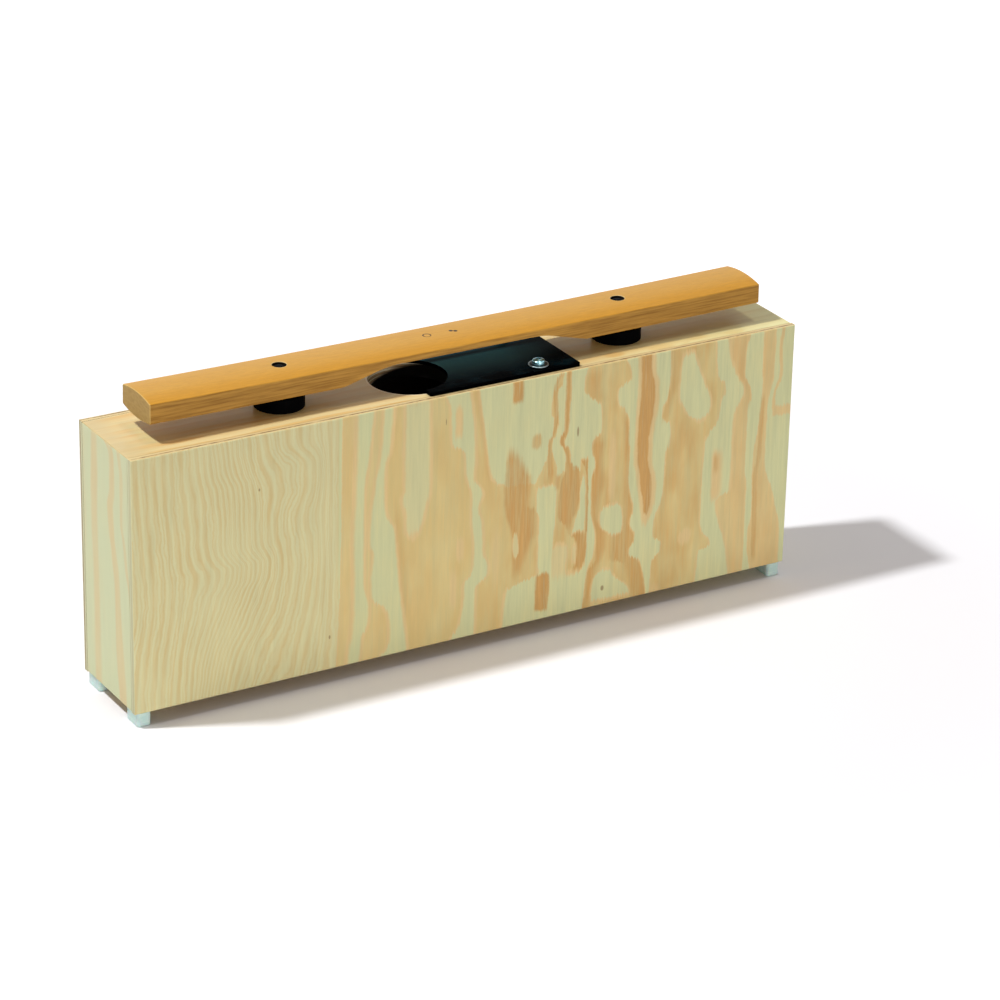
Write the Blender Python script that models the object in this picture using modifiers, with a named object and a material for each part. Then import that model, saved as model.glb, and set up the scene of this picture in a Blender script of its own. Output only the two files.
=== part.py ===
# Bass bar: one tuned tone bar that rests on buffers over its own wooden resonator box.
# Metres, +Z up, +X along the bar. The feet stand on Z = 0 and the box is centred on the origin.

import bpy
import bmesh
from math import atan2, cos, pi, radians, sin, sqrt, tan
from mathutils import Matrix, Vector

# Resonator box, outer sizes and board thicknesses
BOX_LENGTH = 0.5000
BOX_DEPTH = 0.0765
BOX_HEIGHT = 0.1775
FRAME_THICKNESS = 0.0100
PANEL_THICKNESS = 0.0050
CORNER_RADIUS = 0.0010
GLUE_LINE = 0.0003

# Sound hole in the top board
HOLE_RADIUS = 0.0280
HOLE_X = -0.0295

# Feet
FOOT_LENGTH = 0.0100
FOOT_WIDTH = 0.0170
FOOT_HEIGHT = 0.0097
FOOT_END_INSET = 0.0020
FOOT_SIDE_INSET = 0.0010
FOOT_CORNER_RADIUS = 0.0022
FOOT_EDGE_RADIUS = 0.0008

# Tone bar
BAR_LENGTH = 0.4590
BAR_WIDTH = 0.0400
BAR_THICKNESS = 0.0181
BAR_SHIFT = 0.0020
BAR_TOP_RISE = 0.0024
BAR_BOTTOM_RISE = 0.0023
BAR_UPPER_RADIUS = 0.0012
BAR_LOWER_RADIUS = 0.0012
BAR_END_EASING = 0.0008
BAR_BOW = 0.0015
ARCH_SPAN = 0.1840
ARCH_RAMP_ANGLE = 15
ARCH_BLEND_RADIUS = 0.0650
ARCH_REMAINING = 0.0066
BORE_CHAMFER = 0.0004
PIN_SPACING = 0.2556

# Pins, caps and buffers
PIN_RADIUS = 0.0020
PIN_CHAMFER = 0.0010
PIN_DEPTH = 0.0080
CAP_RADIUS = 0.0043
CAP_CROWN = 0.0012
CAP_BELOW_CROWN = 0.0006
CAP_ROOF = 0.0020
BUFFER_RADIUS = 0.01675
BUFFER_HEIGHT = 0.0094
BUFFER_EDGE_RADIUS = 0.0015

# Tuning slide, a plate with a half-round mouth that covers part of the sound hole
SLIDE_LENGTH = 0.1138
SLIDE_MARGIN = 0.00425
SLIDE_THICKNESS = 0.0025
MOUTH_OFFSET = 0.0035
SLIDE_CORNER_RADIUS = 0.0008
SLIDE_TRAVEL = 0.0040

# Tuning screws and washers
SCREW_FROM_RIGHT = 0.0270
SCREW_FROM_SIDE = 0.0090
SHANK_RADIUS = 0.0017
SHANK_LENGTH = 0.0120
SHANK_POINT = 0.0030
HEAD_RADIUS = 0.0043
HEAD_HEIGHT = 0.0036
HEAD_CROWN = 0.0004
HEAD_SHOULDER = 0.0010
RECESS_WIDTH = 0.0010
RECESS_SPAN = 0.0046
RECESS_DEPTH = 0.0020
WASHER_RADIUS = 0.0069
WASHER_THICKNESS = 0.0008
WASHER_EDGE = 0.0002

# Clearances: where one piece seats on another, turns in it or passes through it
SEAT_GAP = 0.0003
PRESS_CLEARANCE = 0.0003
CAP_CLEARANCE = 0.0005
SLOT_CLEARANCE = 0.0004

# Smoothness of round shapes
ROUND_STEPS = 48
SMALL_STEPS = 32
HOLE_STEPS = 96
ARCH_STEPS = 10
MOUTH_STEPS = 40
SECTION_STEPS = 12
SLOT_STEPS = 10
CROWN_STEPS = 8
EDGE_STEPS = 3
BAR_STATIONS = 24
SHARP_ANGLE = 60

# Heights that the sizes above lead to
box_bottom = FOOT_HEIGHT + SEAT_GAP
box_top = box_bottom + BOX_HEIGHT
frame_depth = BOX_DEPTH - 2 * (PANEL_THICKNESS + GLUE_LINE)
buffer_bottom = box_top + SEAT_GAP
bar_seat = buffer_bottom + BUFFER_HEIGHT + SEAT_GAP
bar_crown_at_pins = bar_seat + BAR_THICKNESS
cap_top = bar_crown_at_pins - CAP_BELOW_CROWN
slide_bottom = box_top + SEAT_GAP
slide_top = slide_bottom + SLIDE_THICKNESS
washer_bottom = slide_top + SEAT_GAP
washer_top = washer_bottom + WASHER_THICKNESS
head_bottom = washer_top + SEAT_GAP

# Places and sizes in plan that the sizes above lead to
bore_radius = CAP_RADIUS + CAP_CLEARANCE
mouth_radius = HOLE_RADIUS
slide_left_x = HOLE_X - MOUTH_OFFSET
slide_right_x = slide_left_x + SLIDE_LENGTH
slide_half_width = BOX_DEPTH / 2 - SLIDE_MARGIN
screw_x = slide_right_x - SCREW_FROM_RIGHT
screw_y = slide_half_width - SCREW_FROM_SIDE
pin_places = {"left": BAR_SHIFT - PIN_SPACING / 2, "right": BAR_SHIFT + PIN_SPACING / 2}
screw_places = {"front": -screw_y, "back": screw_y}


def clear_scene():
    for old in list(bpy.data.objects):
        bpy.data.objects.remove(old, do_unlink=True)


def new_collection(name):
    collection = bpy.data.collections.new(name)
    bpy.context.scene.collection.children.link(collection)
    return collection


def new_material(name, colour, roughness, metallic=0.0):
    material = bpy.data.materials.new(name)
    material.use_nodes = True
    shader = material.node_tree.nodes["Principled BSDF"]
    shader.inputs["Base Color"].default_value = (*colour, 1.0)
    shader.inputs["Roughness"].default_value = roughness
    shader.inputs["Metallic"].default_value = metallic
    material.diffuse_color = (*colour, 1.0)
    return material


# Helpers for outlines, as lists of two-number points

def arc(centre, radius, start, end, steps):
    angles = [start + (end - start) * i / steps for i in range(steps + 1)]
    return [(centre[0] + radius * cos(a), centre[1] + radius * sin(a)) for a in angles]


def rise_radius(half_span, rise):
    return (half_span ** 2 + rise ** 2) / (2 * rise)


def fillet(points, radii, steps=EDGE_STEPS):
    """Round corners of a closed outline; radii gives each rounded corner's radius by its index."""
    rounded = []
    count = len(points)
    for i, point in enumerate(points):
        if i not in radii:
            rounded.append(point)
            continue
        radius = radii[i]
        corner = Vector(point)
        back = (Vector(points[i - 1]) - corner).normalized()
        ahead = (Vector(points[(i + 1) % count]) - corner).normalized()
        half = back.angle(ahead) / 2
        centre = corner + (back + ahead).normalized() * (radius / sin(half))
        first = corner + back * (radius / tan(half)) - centre
        last = corner + ahead * (radius / tan(half)) - centre
        start = atan2(first.y, first.x)
        sweep = (atan2(last.y, last.x) - start + pi) % (2 * pi) - pi
        rounded += arc(tuple(centre), radius, start, start + sweep, steps)
    return rounded


# Helpers that turn outlines and profiles into closed meshes

def welded_mesh(source, name):
    """Mesh of a curve or a modified object as evaluated, with its caps welded."""
    depsgraph = bpy.context.evaluated_depsgraph_get()
    mesh = bpy.data.meshes.new_from_object(source.evaluated_get(depsgraph))
    mesh.name = name
    work = bmesh.new()
    work.from_mesh(mesh)
    bmesh.ops.remove_doubles(work, verts=work.verts, dist=0.000001)
    bmesh.ops.recalc_face_normals(work, faces=work.faces)
    work.to_mesh(mesh)
    work.free()
    mesh.materials.clear()
    return mesh


def place(name, mesh, collection, material=None, location=(0, 0, 0)):
    item = bpy.data.objects.new(name, mesh)
    item.location = location
    collection.objects.link(item)
    if material:
        mesh.materials.append(material)
    bpy.context.view_layer.update()
    return item


def outline_curve(name, outlines):
    curve = bpy.data.curves.new(name, "CURVE")
    curve.dimensions = "2D"
    curve.fill_mode = "BOTH"
    for outline in outlines:
        spline = curve.splines.new("POLY")
        spline.points.add(len(outline) - 1)
        for point, (x, y) in zip(spline.points, outline):
            point.co = (x, y, 0, 1)
        spline.use_cyclic_u = True
    return curve


def plate_mesh(name, outlines, thickness, upright=False):
    """Flat outline with a thickness, lying in XY or, if upright, standing in XZ."""
    curve = outline_curve(name, outlines)
    curve.extrude = thickness / 2
    source = bpy.data.objects.new(name, curve)
    bpy.context.scene.collection.objects.link(source)
    bpy.context.view_layer.update()
    mesh = welded_mesh(source, name)
    bpy.data.objects.remove(source, do_unlink=True)
    if upright:
        mesh.transform(Matrix.Rotation(radians(90), 4, "X"))
    return mesh


def turned_mesh(name, profile, closed=False, steps=ROUND_STEPS):
    """Turn a profile of (radius, height) points about Z; it runs down its outer side."""
    line = bpy.data.meshes.new(name)
    edges = [(i, i + 1) for i in range(len(profile) - 1)]
    if closed:
        edges.append((len(profile) - 1, 0))
    line.from_pydata([(r, 0, z) for r, z in profile], edges, [])
    source = bpy.data.objects.new(name, line)
    bpy.context.scene.collection.objects.link(source)
    screw = source.modifiers.new("Turn", "SCREW")
    screw.steps = steps
    screw.render_steps = steps
    screw.use_merge_vertices = True
    screw.merge_threshold = 0.00001
    bpy.context.view_layer.update()
    mesh = welded_mesh(source, name)
    bpy.data.objects.remove(source, do_unlink=True)
    bpy.data.meshes.remove(line)
    return mesh


def rod_mesh(name, radius, length, steps=SMALL_STEPS):
    """Plain round rod from Z = 0 upwards."""
    mesh = bpy.data.meshes.new(name)
    work = bmesh.new()
    bmesh.ops.create_cone(work, cap_ends=True, segments=steps, radius1=radius, radius2=radius,
                          depth=length, matrix=Matrix.Translation((0, 0, length / 2)))
    work.to_mesh(mesh)
    work.free()
    return mesh


def block_mesh(name, size):
    """Block centred on its own origin."""
    mesh = bpy.data.meshes.new(name)
    work = bmesh.new()
    bmesh.ops.create_cube(work, size=1.0, matrix=Matrix.Diagonal((*size, 1.0)))
    work.to_mesh(mesh)
    work.free()
    return mesh


def bevel_edges(mesh, wanted, width, segments):
    """Round the sharp edges for which wanted(start, end) is true."""
    work = bmesh.new()
    work.from_mesh(mesh)
    sharp = [e for e in work.edges if e.calc_face_angle(0) > radians(SHARP_ANGLE)]
    edges = [e for e in sharp if wanted(e.verts[0].co, e.verts[1].co)]
    bmesh.ops.bevel(work, geom=edges, offset=width, segments=segments, profile=0.5, affect="EDGES")
    work.to_mesh(mesh)
    work.free()


def cut_with(item, cutter):
    cutter.hide_render = True
    cutter.display_type = "WIRE"
    cut = item.modifiers.new("Cut " + cutter.name, "BOOLEAN")
    cut.operation = "DIFFERENCE"
    cut.solver = "EXACT"
    cut.object = cutter


def shade_round(item, angle=30):
    item.data.shade_smooth()
    item.data.set_sharp_from_angle(angle=radians(angle))


# Resonator box

def board_outline(length, thickness):
    """Side view of a mitred board whose outer face is up, with eased outer corners."""
    tip = length / 2 - GLUE_LINE / sqrt(2)
    inner = tip - thickness
    centre = (tip - CORNER_RADIUS, -CORNER_RADIUS)
    right = arc(centre, CORNER_RADIUS, pi / 2, pi / 4, EDGE_STEPS)
    left = [(-x, z) for x, z in reversed(right)]
    return left + right + [(inner, -thickness), (-inner, -thickness)]


def mitred_board(name, length, middle, turn, collection, material):
    """Frame board with mitred ends; turn spins its outer face from up about Y."""
    mesh = plate_mesh(name, [board_outline(length, FRAME_THICKNESS)], frame_depth, upright=True)
    mesh.transform(Matrix.Rotation(turn, 4, "Y"))
    return place(name, mesh, collection, material, middle)


def make_frame(parts, cutters):
    wood = new_material("frame_plywood", (0.80, 0.62, 0.36), 0.48)
    middle_z = box_bottom + BOX_HEIGHT / 2
    top = mitred_board("top_board", BOX_LENGTH, (0, 0, box_top), 0, parts, wood)
    mitred_board("bottom_board", BOX_LENGTH, (0, 0, box_bottom), pi, parts, wood)
    end_wood = new_material("end_plywood", (0.62, 0.62, 0.36), 0.5)
    mitred_board("left_end_board", BOX_HEIGHT, (-BOX_LENGTH / 2, 0, middle_z), -pi / 2, parts, end_wood)
    mitred_board("right_end_board", BOX_HEIGHT, (BOX_LENGTH / 2, 0, middle_z), pi / 2, parts, end_wood)

    through = 2 * FRAME_THICKNESS
    hole = place("sound_hole_cutter", rod_mesh("sound_hole_cutter", HOLE_RADIUS, through, HOLE_STEPS),
                 cutters, location=(HOLE_X, 0, box_top - 1.5 * FRAME_THICKNESS))
    cut_with(top, hole)
    for side, x in pin_places.items():
        depth = PIN_DEPTH + PRESS_CLEARANCE
        drill = rod_mesh("pin_drill_" + side, PIN_RADIUS + PRESS_CLEARANCE, 2 * depth)
        cut_with(top, place("pin_drill_" + side, drill, cutters, location=(x, 0, box_top - depth)))
    for side, y in screw_places.items():
        depth = box_top - (head_bottom - SHANK_LENGTH) + PRESS_CLEARANCE
        drill = rod_mesh("screw_drill_" + side, SHANK_RADIUS + PRESS_CLEARANCE, 2 * depth)
        cut_with(top, place("screw_drill_" + side, drill, cutters, location=(screw_x, y, box_top - depth)))


def make_panels(parts):
    """Front and back panels, glued over the frame, with eased outer edges."""
    wood = new_material("panel_plywood", (0.58, 0.50, 0.28), 0.48)
    for name, side in (("front_panel", -1), ("back_panel", 1)):
        mesh = block_mesh(name, (BOX_LENGTH, PANEL_THICKNESS, BOX_HEIGHT))

        def outer(start, end):
            return start.y * side > 0 and end.y * side > 0

        bevel_edges(mesh, outer, CORNER_RADIUS, EDGE_STEPS)
        y = side * (BOX_DEPTH - PANEL_THICKNESS) / 2
        panel = place(name, mesh, parts, wood, (0, y, box_bottom + BOX_HEIGHT / 2))
        shade_round(panel)


def make_feet(parts):
    rubber = new_material("clear_blue_rubber", (0.60, 0.82, 0.85), 0.35)
    x = BOX_LENGTH / 2 - FOOT_END_INSET - FOOT_LENGTH / 2
    y = BOX_DEPTH / 2 - FOOT_SIDE_INSET - FOOT_WIDTH / 2
    for depth_name, sy in (("front", -1), ("back", 1)):
        for end_name, sx in (("left", -1), ("right", 1)):
            name = "foot_" + depth_name + "_" + end_name
            mesh = block_mesh(name, (FOOT_LENGTH, FOOT_WIDTH, FOOT_HEIGHT))
            bevel_edges(mesh, lambda a, b: abs(a.z - b.z) > FOOT_HEIGHT / 2, FOOT_CORNER_RADIUS, EDGE_STEPS)
            bevel_edges(mesh, lambda a, b: a.z < 0 and b.z < 0, FOOT_EDGE_RADIUS, EDGE_STEPS)
            foot = place(name, mesh, parts, rubber, (sx * x, sy * y, FOOT_HEIGHT / 2))
            shade_round(foot)


# Tone bar, its pins and its supports

def bow_height(x):
    """Height of the bar's underside over its seats, x from the middle of the bar."""
    def sag(place_x):
        return BAR_BOW * (1 - (place_x / (BAR_LENGTH / 2)) ** 2)
    return sag(PIN_SPACING / 2) - sag(x)


def bar_section():
    """Barrel-shaped section: arched top, short upright sides, slightly rounded underside."""
    half = BAR_WIDTH / 2
    top_radius = rise_radius(half, BAR_TOP_RISE)
    bottom_radius = rise_radius(half, BAR_BOTTOM_RISE)
    top_angle = atan2(half, top_radius - BAR_TOP_RISE)
    bottom_angle = atan2(half, bottom_radius - BAR_BOTTOM_RISE)
    top = arc((0, BAR_THICKNESS - top_radius), top_radius,
              pi / 2 - top_angle, pi / 2 + top_angle, SECTION_STEPS)
    bottom = arc((0, bottom_radius), bottom_radius,
                 -pi / 2 - bottom_angle, -pi / 2 + bottom_angle, SECTION_STEPS)
    outline = top + bottom
    radii = {0: BAR_UPPER_RADIUS, len(top) - 1: BAR_UPPER_RADIUS,
             len(top): BAR_LOWER_RADIUS, len(outline) - 1: BAR_LOWER_RADIUS}
    return fillet(outline, radii)


def swept_bar_mesh(name):
    """Section swept along the bar's slightly bowed length, with filled ends."""
    section = bpy.data.objects.new("bar_section", outline_curve("bar_section", [bar_section()]))
    path = bpy.data.curves.new("bar_path", "CURVE")
    path.dimensions = "3D"
    path.twist_mode = "Z_UP"
    path.bevel_mode = "OBJECT"
    path.bevel_object = section
    path.use_fill_caps = True
    spline = path.splines.new("POLY")
    spline.points.add(BAR_STATIONS)
    for i, point in enumerate(spline.points):
        x = BAR_LENGTH * (i / BAR_STATIONS - 0.5)
        point.co = (x, 0, bow_height(x), 1)
    source = bpy.data.objects.new("bar_path", path)
    for item in (section, source):
        bpy.context.scene.collection.objects.link(item)
    bpy.context.view_layer.update()
    mesh = welded_mesh(source, name)
    for item in (section, source):
        bpy.data.objects.remove(item, do_unlink=True)
    return mesh


def arch_cutter_mesh(name):
    """Long flat arch with sloping ends that thins the middle of the bar and so tunes it."""
    half = ARCH_SPAN / 2
    spring = bow_height(half) + BAR_BOTTOM_RISE
    ceiling = bow_height(0) + BAR_THICKNESS - ARCH_REMAINING
    floor = -BAR_THICKNESS
    slope = tan(radians(ARCH_RAMP_ANGLE))
    top = half - (ceiling - spring) / slope
    foot = half + (spring - floor) / slope
    outline = [(-foot, floor), (foot, floor), (top, ceiling), (-top, ceiling)]
    outline = fillet(outline, {2: ARCH_BLEND_RADIUS, 3: ARCH_BLEND_RADIUS}, ARCH_STEPS)
    return plate_mesh(name, [outline], 2 * BAR_WIDTH, upright=True)


def make_tone_bar(parts, cutters):
    glass_fibre = new_material("golden_composite", (0.72, 0.42, 0.10), 0.38)
    mesh = swept_bar_mesh("tone_bar")
    end_x = BAR_LENGTH / 2 - BAR_END_EASING

    def at_end(start, end):
        return min(abs(start.x), abs(end.x)) > end_x and start.x * end.x > 0

    bevel_edges(mesh, at_end, BAR_END_EASING, EDGE_STEPS)
    home = Vector((BAR_SHIFT, 0, bar_seat))
    bar = place("tone_bar", mesh, parts, glass_fibre, home)
    cut_with(bar, place("arch_cutter", arch_cutter_mesh("arch_cutter"), cutters, location=home))
    lip = bore_radius + BORE_CHAMFER
    overrun = BAR_THICKNESS / 2
    bore_profile = [(0, BAR_THICKNESS + overrun), (lip + overrun, BAR_THICKNESS + overrun),
                    (lip, BAR_THICKNESS), (bore_radius, BAR_THICKNESS - BORE_CHAMFER),
                    (bore_radius, -overrun), (0, -overrun)]
    for side, x in pin_places.items():
        drill = turned_mesh("bore_cutter_" + side, bore_profile, steps=SMALL_STEPS)
        cut_with(bar, place("bore_cutter_" + side, drill, cutters, location=(x, 0, bar_seat)))
    shade_round(bar, 25)


def make_supports(parts):
    steel = new_material("pin_steel", (0.60, 0.60, 0.62), 0.3, 1.0)
    black = new_material("black_rubber", (0.012, 0.012, 0.014), 0.55)
    cap_black = new_material("cap_rubber", (0.02, 0.022, 0.022), 0.4)
    pin_bottom = box_top - PIN_DEPTH
    pin_top = cap_top - CAP_ROOF - SEAT_GAP
    cap_bottom = box_top + SEAT_GAP
    sleeve = PIN_RADIUS + PRESS_CLEARANCE
    crown_radius = rise_radius(CAP_RADIUS, CAP_CROWN)
    crown_angle = atan2(CAP_RADIUS, crown_radius - CAP_CROWN)
    crown = arc((0, cap_top - crown_radius), crown_radius, pi / 2, pi / 2 - crown_angle, CROWN_STEPS)
    cap_profile = crown + [(CAP_RADIUS, cap_bottom), (sleeve, cap_bottom),
                           (sleeve, cap_top - CAP_ROOF), (0, cap_top - CAP_ROOF)]
    tip = PIN_RADIUS - PIN_CHAMFER
    pin_profile = [(0, pin_top), (tip, pin_top), (PIN_RADIUS, pin_top - PIN_CHAMFER),
                   (PIN_RADIUS, pin_bottom + PIN_CHAMFER), (tip, pin_bottom), (0, pin_bottom)]
    bore = CAP_RADIUS + PRESS_CLEARANCE
    edge = BUFFER_RADIUS - BUFFER_EDGE_RADIUS
    buffer_top = buffer_bottom + BUFFER_HEIGHT
    buffer_profile = [(bore, buffer_top)]
    edge_centre = (edge, buffer_top - BUFFER_EDGE_RADIUS)
    buffer_profile += arc(edge_centre, BUFFER_EDGE_RADIUS, pi / 2, 0, EDGE_STEPS)
    buffer_profile += [(BUFFER_RADIUS, buffer_bottom), (bore, buffer_bottom)]
    for side, x in pin_places.items():
        pin = place("pin_" + side, turned_mesh("pin_" + side, pin_profile, steps=SMALL_STEPS),
                    parts, steel, (x, 0, 0))
        cap = place("pin_cap_" + side, turned_mesh("pin_cap_" + side, cap_profile, steps=SMALL_STEPS),
                    parts, cap_black, (x, 0, 0))
        pad = place("buffer_" + side, turned_mesh("buffer_" + side, buffer_profile, closed=True),
                    parts, black, (x, 0, 0))
        for item in (pin, cap, pad):
            shade_round(item)


# Tuning slide and what clamps it

def slot_outline(y):
    """Slot as wide as the screw needs and as long as the slide travels, about x = 0."""
    radius = SHANK_RADIUS + SLOT_CLEARANCE
    right = arc((SLIDE_TRAVEL, y), radius, -pi / 2, pi / 2, SLOT_STEPS)
    left = arc((-SLIDE_TRAVEL, y), radius, pi / 2, 3 * pi / 2, SLOT_STEPS)
    return right + left


def make_slide(parts):
    plastic = new_material("black_plastic", (0.010, 0.014, 0.016), 0.32)
    half = slide_half_width
    left = slide_left_x - screw_x
    right = slide_right_x - screw_x
    corners = [(left, -half), (right, -half), (right, half), (left, half)]
    outline = corners + arc((left, 0), mouth_radius, pi / 2, -pi / 2, MOUTH_STEPS)
    outline = fillet(outline, dict.fromkeys(range(len(corners)), SLIDE_CORNER_RADIUS))
    slots = [slot_outline(y) for y in screw_places.values()]
    mesh = plate_mesh("tuning_slide", [outline] + slots, SLIDE_THICKNESS)
    slide = place("tuning_slide", mesh, parts, plastic, (screw_x, 0, slide_bottom + SLIDE_THICKNESS / 2))
    shade_round(slide)


def screw_profile():
    """Pan head over a plain shank with a short point, heights from the head's underside."""
    top_edge = HEAD_RADIUS - HEAD_SHOULDER
    side_top = HEAD_HEIGHT - HEAD_CROWN - HEAD_SHOULDER
    crown_radius = rise_radius(top_edge, HEAD_CROWN)
    crown_angle = atan2(top_edge, crown_radius - HEAD_CROWN)
    crown = arc((0, HEAD_HEIGHT - crown_radius), crown_radius, pi / 2, pi / 2 - crown_angle, CROWN_STEPS)
    shoulder = arc((top_edge, side_top), HEAD_SHOULDER, pi / 2, 0, EDGE_STEPS)
    shank = [(SHANK_RADIUS, 0), (SHANK_RADIUS, SHANK_POINT - SHANK_LENGTH), (0, -SHANK_LENGTH)]
    return crown + shoulder[1:] + [(HEAD_RADIUS, 0)] + shank


def make_screws(parts, cutters):
    zinc = new_material("bright_zinc", (0.55, 0.68, 0.72), 0.22, 1.0)
    washer_zinc = new_material("washer_zinc", (0.62, 0.64, 0.64), 0.3, 1.0)
    hole = SHANK_RADIUS + PRESS_CLEARANCE
    outer = WASHER_RADIUS - WASHER_EDGE
    washer_profile = [(hole, washer_top), (outer, washer_top), (WASHER_RADIUS, washer_top - WASHER_EDGE),
                      (WASHER_RADIUS, washer_bottom), (hole, washer_bottom)]
    for side, y in screw_places.items():
        washer = place("washer_" + side, turned_mesh("washer_" + side, washer_profile, closed=True),
                       parts, washer_zinc, (screw_x, y, 0))
        shade_round(washer)
        screw = place("tuning_screw_" + side, turned_mesh("tuning_screw_" + side, screw_profile()),
                      parts, zinc, (screw_x, y, head_bottom))
        for arm, size in (("along", (RECESS_SPAN, RECESS_WIDTH)), ("across", (RECESS_WIDTH, RECESS_SPAN))):
            name = "recess_" + arm + "_" + side
            blade = block_mesh(name, (*size, 2 * RECESS_DEPTH))
            cutter = place(name, blade, cutters, location=(screw_x, y, head_bottom + HEAD_HEIGHT))
            cut_with(screw, cutter)
        shade_round(screw)


def main():
    clear_scene()
    parts = new_collection("bass_bar")
    cutters = new_collection("cutters")
    make_frame(parts, cutters)
    make_panels(parts)
    make_feet(parts)
    make_tone_bar(parts, cutters)
    make_supports(parts)
    make_slide(parts)
    make_screws(parts, cutters)


main()
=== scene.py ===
# %% [markdown]
# # Bass bar
# A bass bar is one tuned bar over its own wooden resonator box. The solid model gives every piece at its
# real size. This lesson dresses it: a camera, a white studio, and for each piece a finish, or a finer piece
# where the light picks out edges that the plain solid lacks.

from math import cos, pi, radians, sin, sqrt

import bmesh
import bpy
from mathutils import Matrix, Vector


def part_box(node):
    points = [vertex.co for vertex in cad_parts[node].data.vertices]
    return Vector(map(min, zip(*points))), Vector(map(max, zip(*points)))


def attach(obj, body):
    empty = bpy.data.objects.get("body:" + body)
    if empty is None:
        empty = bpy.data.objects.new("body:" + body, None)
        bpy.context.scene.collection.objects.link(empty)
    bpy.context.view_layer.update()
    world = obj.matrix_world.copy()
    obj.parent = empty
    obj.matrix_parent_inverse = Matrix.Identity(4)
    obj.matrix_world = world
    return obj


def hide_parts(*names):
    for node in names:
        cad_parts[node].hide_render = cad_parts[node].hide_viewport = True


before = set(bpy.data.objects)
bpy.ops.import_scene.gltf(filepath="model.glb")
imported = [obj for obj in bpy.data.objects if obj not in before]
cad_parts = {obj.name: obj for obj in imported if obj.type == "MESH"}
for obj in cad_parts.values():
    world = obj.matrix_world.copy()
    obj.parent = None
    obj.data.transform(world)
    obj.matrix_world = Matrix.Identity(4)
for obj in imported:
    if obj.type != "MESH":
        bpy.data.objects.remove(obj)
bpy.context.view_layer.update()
MM = 0.001

# %% [markdown]
# ## Camera
# A product photograph is usually taken from far away with a long lens, so that parallel edges stay nearly
# parallel. The camera here turns round the middle of the box. Azimuth says how far round it stands and
# elevation how far up. Two small slides then put the object where the picture has it, which keeps the
# perspective right without a lens shift.

# %% Place the camera
panel_low, panel_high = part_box("front_panel")
box_centre = Vector((0, 0, (panel_low.z + panel_high.z) / 2))
AZIMUTH = radians(-30.887)
ELEVATION = radians(24.087)
ROLL = radians(1.266)
CAMERA_DISTANCE = 2.6698
SLIDE_RIGHT = 0.035535
SLIDE_UP = -0.0043585
LENS = 143.85

looking = Vector((-sin(AZIMUTH) * cos(ELEVATION), cos(AZIMUTH) * cos(ELEVATION), -sin(ELEVATION)))
level_right = Vector((cos(AZIMUTH), sin(AZIMUTH), 0))
level_up = level_right.cross(looking)
right = cos(ROLL) * level_right + sin(ROLL) * level_up
up = cos(ROLL) * level_up - sin(ROLL) * level_right

camera_data = bpy.data.cameras.new("camera")
camera_data.lens = LENS
camera_data.sensor_width = 36
camera = bpy.data.objects.new("camera", camera_data)
bpy.context.scene.collection.objects.link(camera)
place = box_centre - CAMERA_DISTANCE * looking + SLIDE_RIGHT * right + SLIDE_UP * up
turn = Matrix((right, up, -looking)).transposed().to_4x4()
camera.matrix_world = Matrix.Translation(place) @ turn
bpy.context.scene.camera = camera
print("camera stands at", [round(v, 3) for v in place])

# %% [markdown]
# ## Sums on sockets
# A procedural finish is mostly arithmetic on positions. Nodes do that arithmetic one step at a time, which is
# hard to read, so a small class wraps a socket and lets Python's own signs add the Math nodes. Everything
# that isn't plain arithmetic comes from one method of the finish, which takes the node's type, its
# settings and its inputs.

# %% A socket that Python can do sums with
class Wire:
    """A number, colour or vector that flows through a finish."""

    def __init__(self, finish, socket):
        self.finish = finish
        self.socket = socket

    def sum_with(self, operation, *values):
        return self.finish.add("ShaderNodeMath", {"operation": operation}, dict(enumerate(values)))

    def __add__(self, other):
        return self.sum_with("ADD", self, other)

    def __sub__(self, other):
        return self.sum_with("SUBTRACT", self, other)

    def __mul__(self, other):
        return self.sum_with("MULTIPLY", self, other)

    def __truediv__(self, other):
        return self.sum_with("DIVIDE", self, other)

    def __radd__(self, other):
        return self.sum_with("ADD", other, self)

    def __rsub__(self, other):
        return self.sum_with("SUBTRACT", other, self)

    def __rmul__(self, other):
        return self.sum_with("MULTIPLY", other, self)

    def __rtruediv__(self, other):
        return self.sum_with("DIVIDE", other, self)

    def __pow__(self, other):
        return self.sum_with("POWER", self, other)

    def __abs__(self):
        return self.sum_with("ABSOLUTE", self)

    def root(self):
        return self.sum_with("SQRT", self)

    def fraction(self):
        return self.sum_with("FRACT", self)

    def smallest(self, other):
        return self.sum_with("MINIMUM", self, other)

    def largest(self, other):
        return self.sum_with("MAXIMUM", self, other)

    def step(self, start, end):
        """0 below start, 1 above end, and a smooth rise between them."""
        settings = {"interpolation_type": "SMOOTHSTEP"}
        values = {"Value": self, "From Min": start, "From Max": end, "To Min": 0.0, "To Max": 1.0}
        return self.finish.add("ShaderNodeMapRange", settings, values)


# %% A finish: one material and the nodes that feed it
def linear(red, green, blue):
    """A colour as a paint program names it, from 0 to 255, as the light that it stands for."""
    return tuple((v / 255 / 12.92) if v <= 10 else ((v / 255 + 0.055) / 1.055) ** 2.4
                 for v in (red, green, blue)) + (1.0,)


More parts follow.
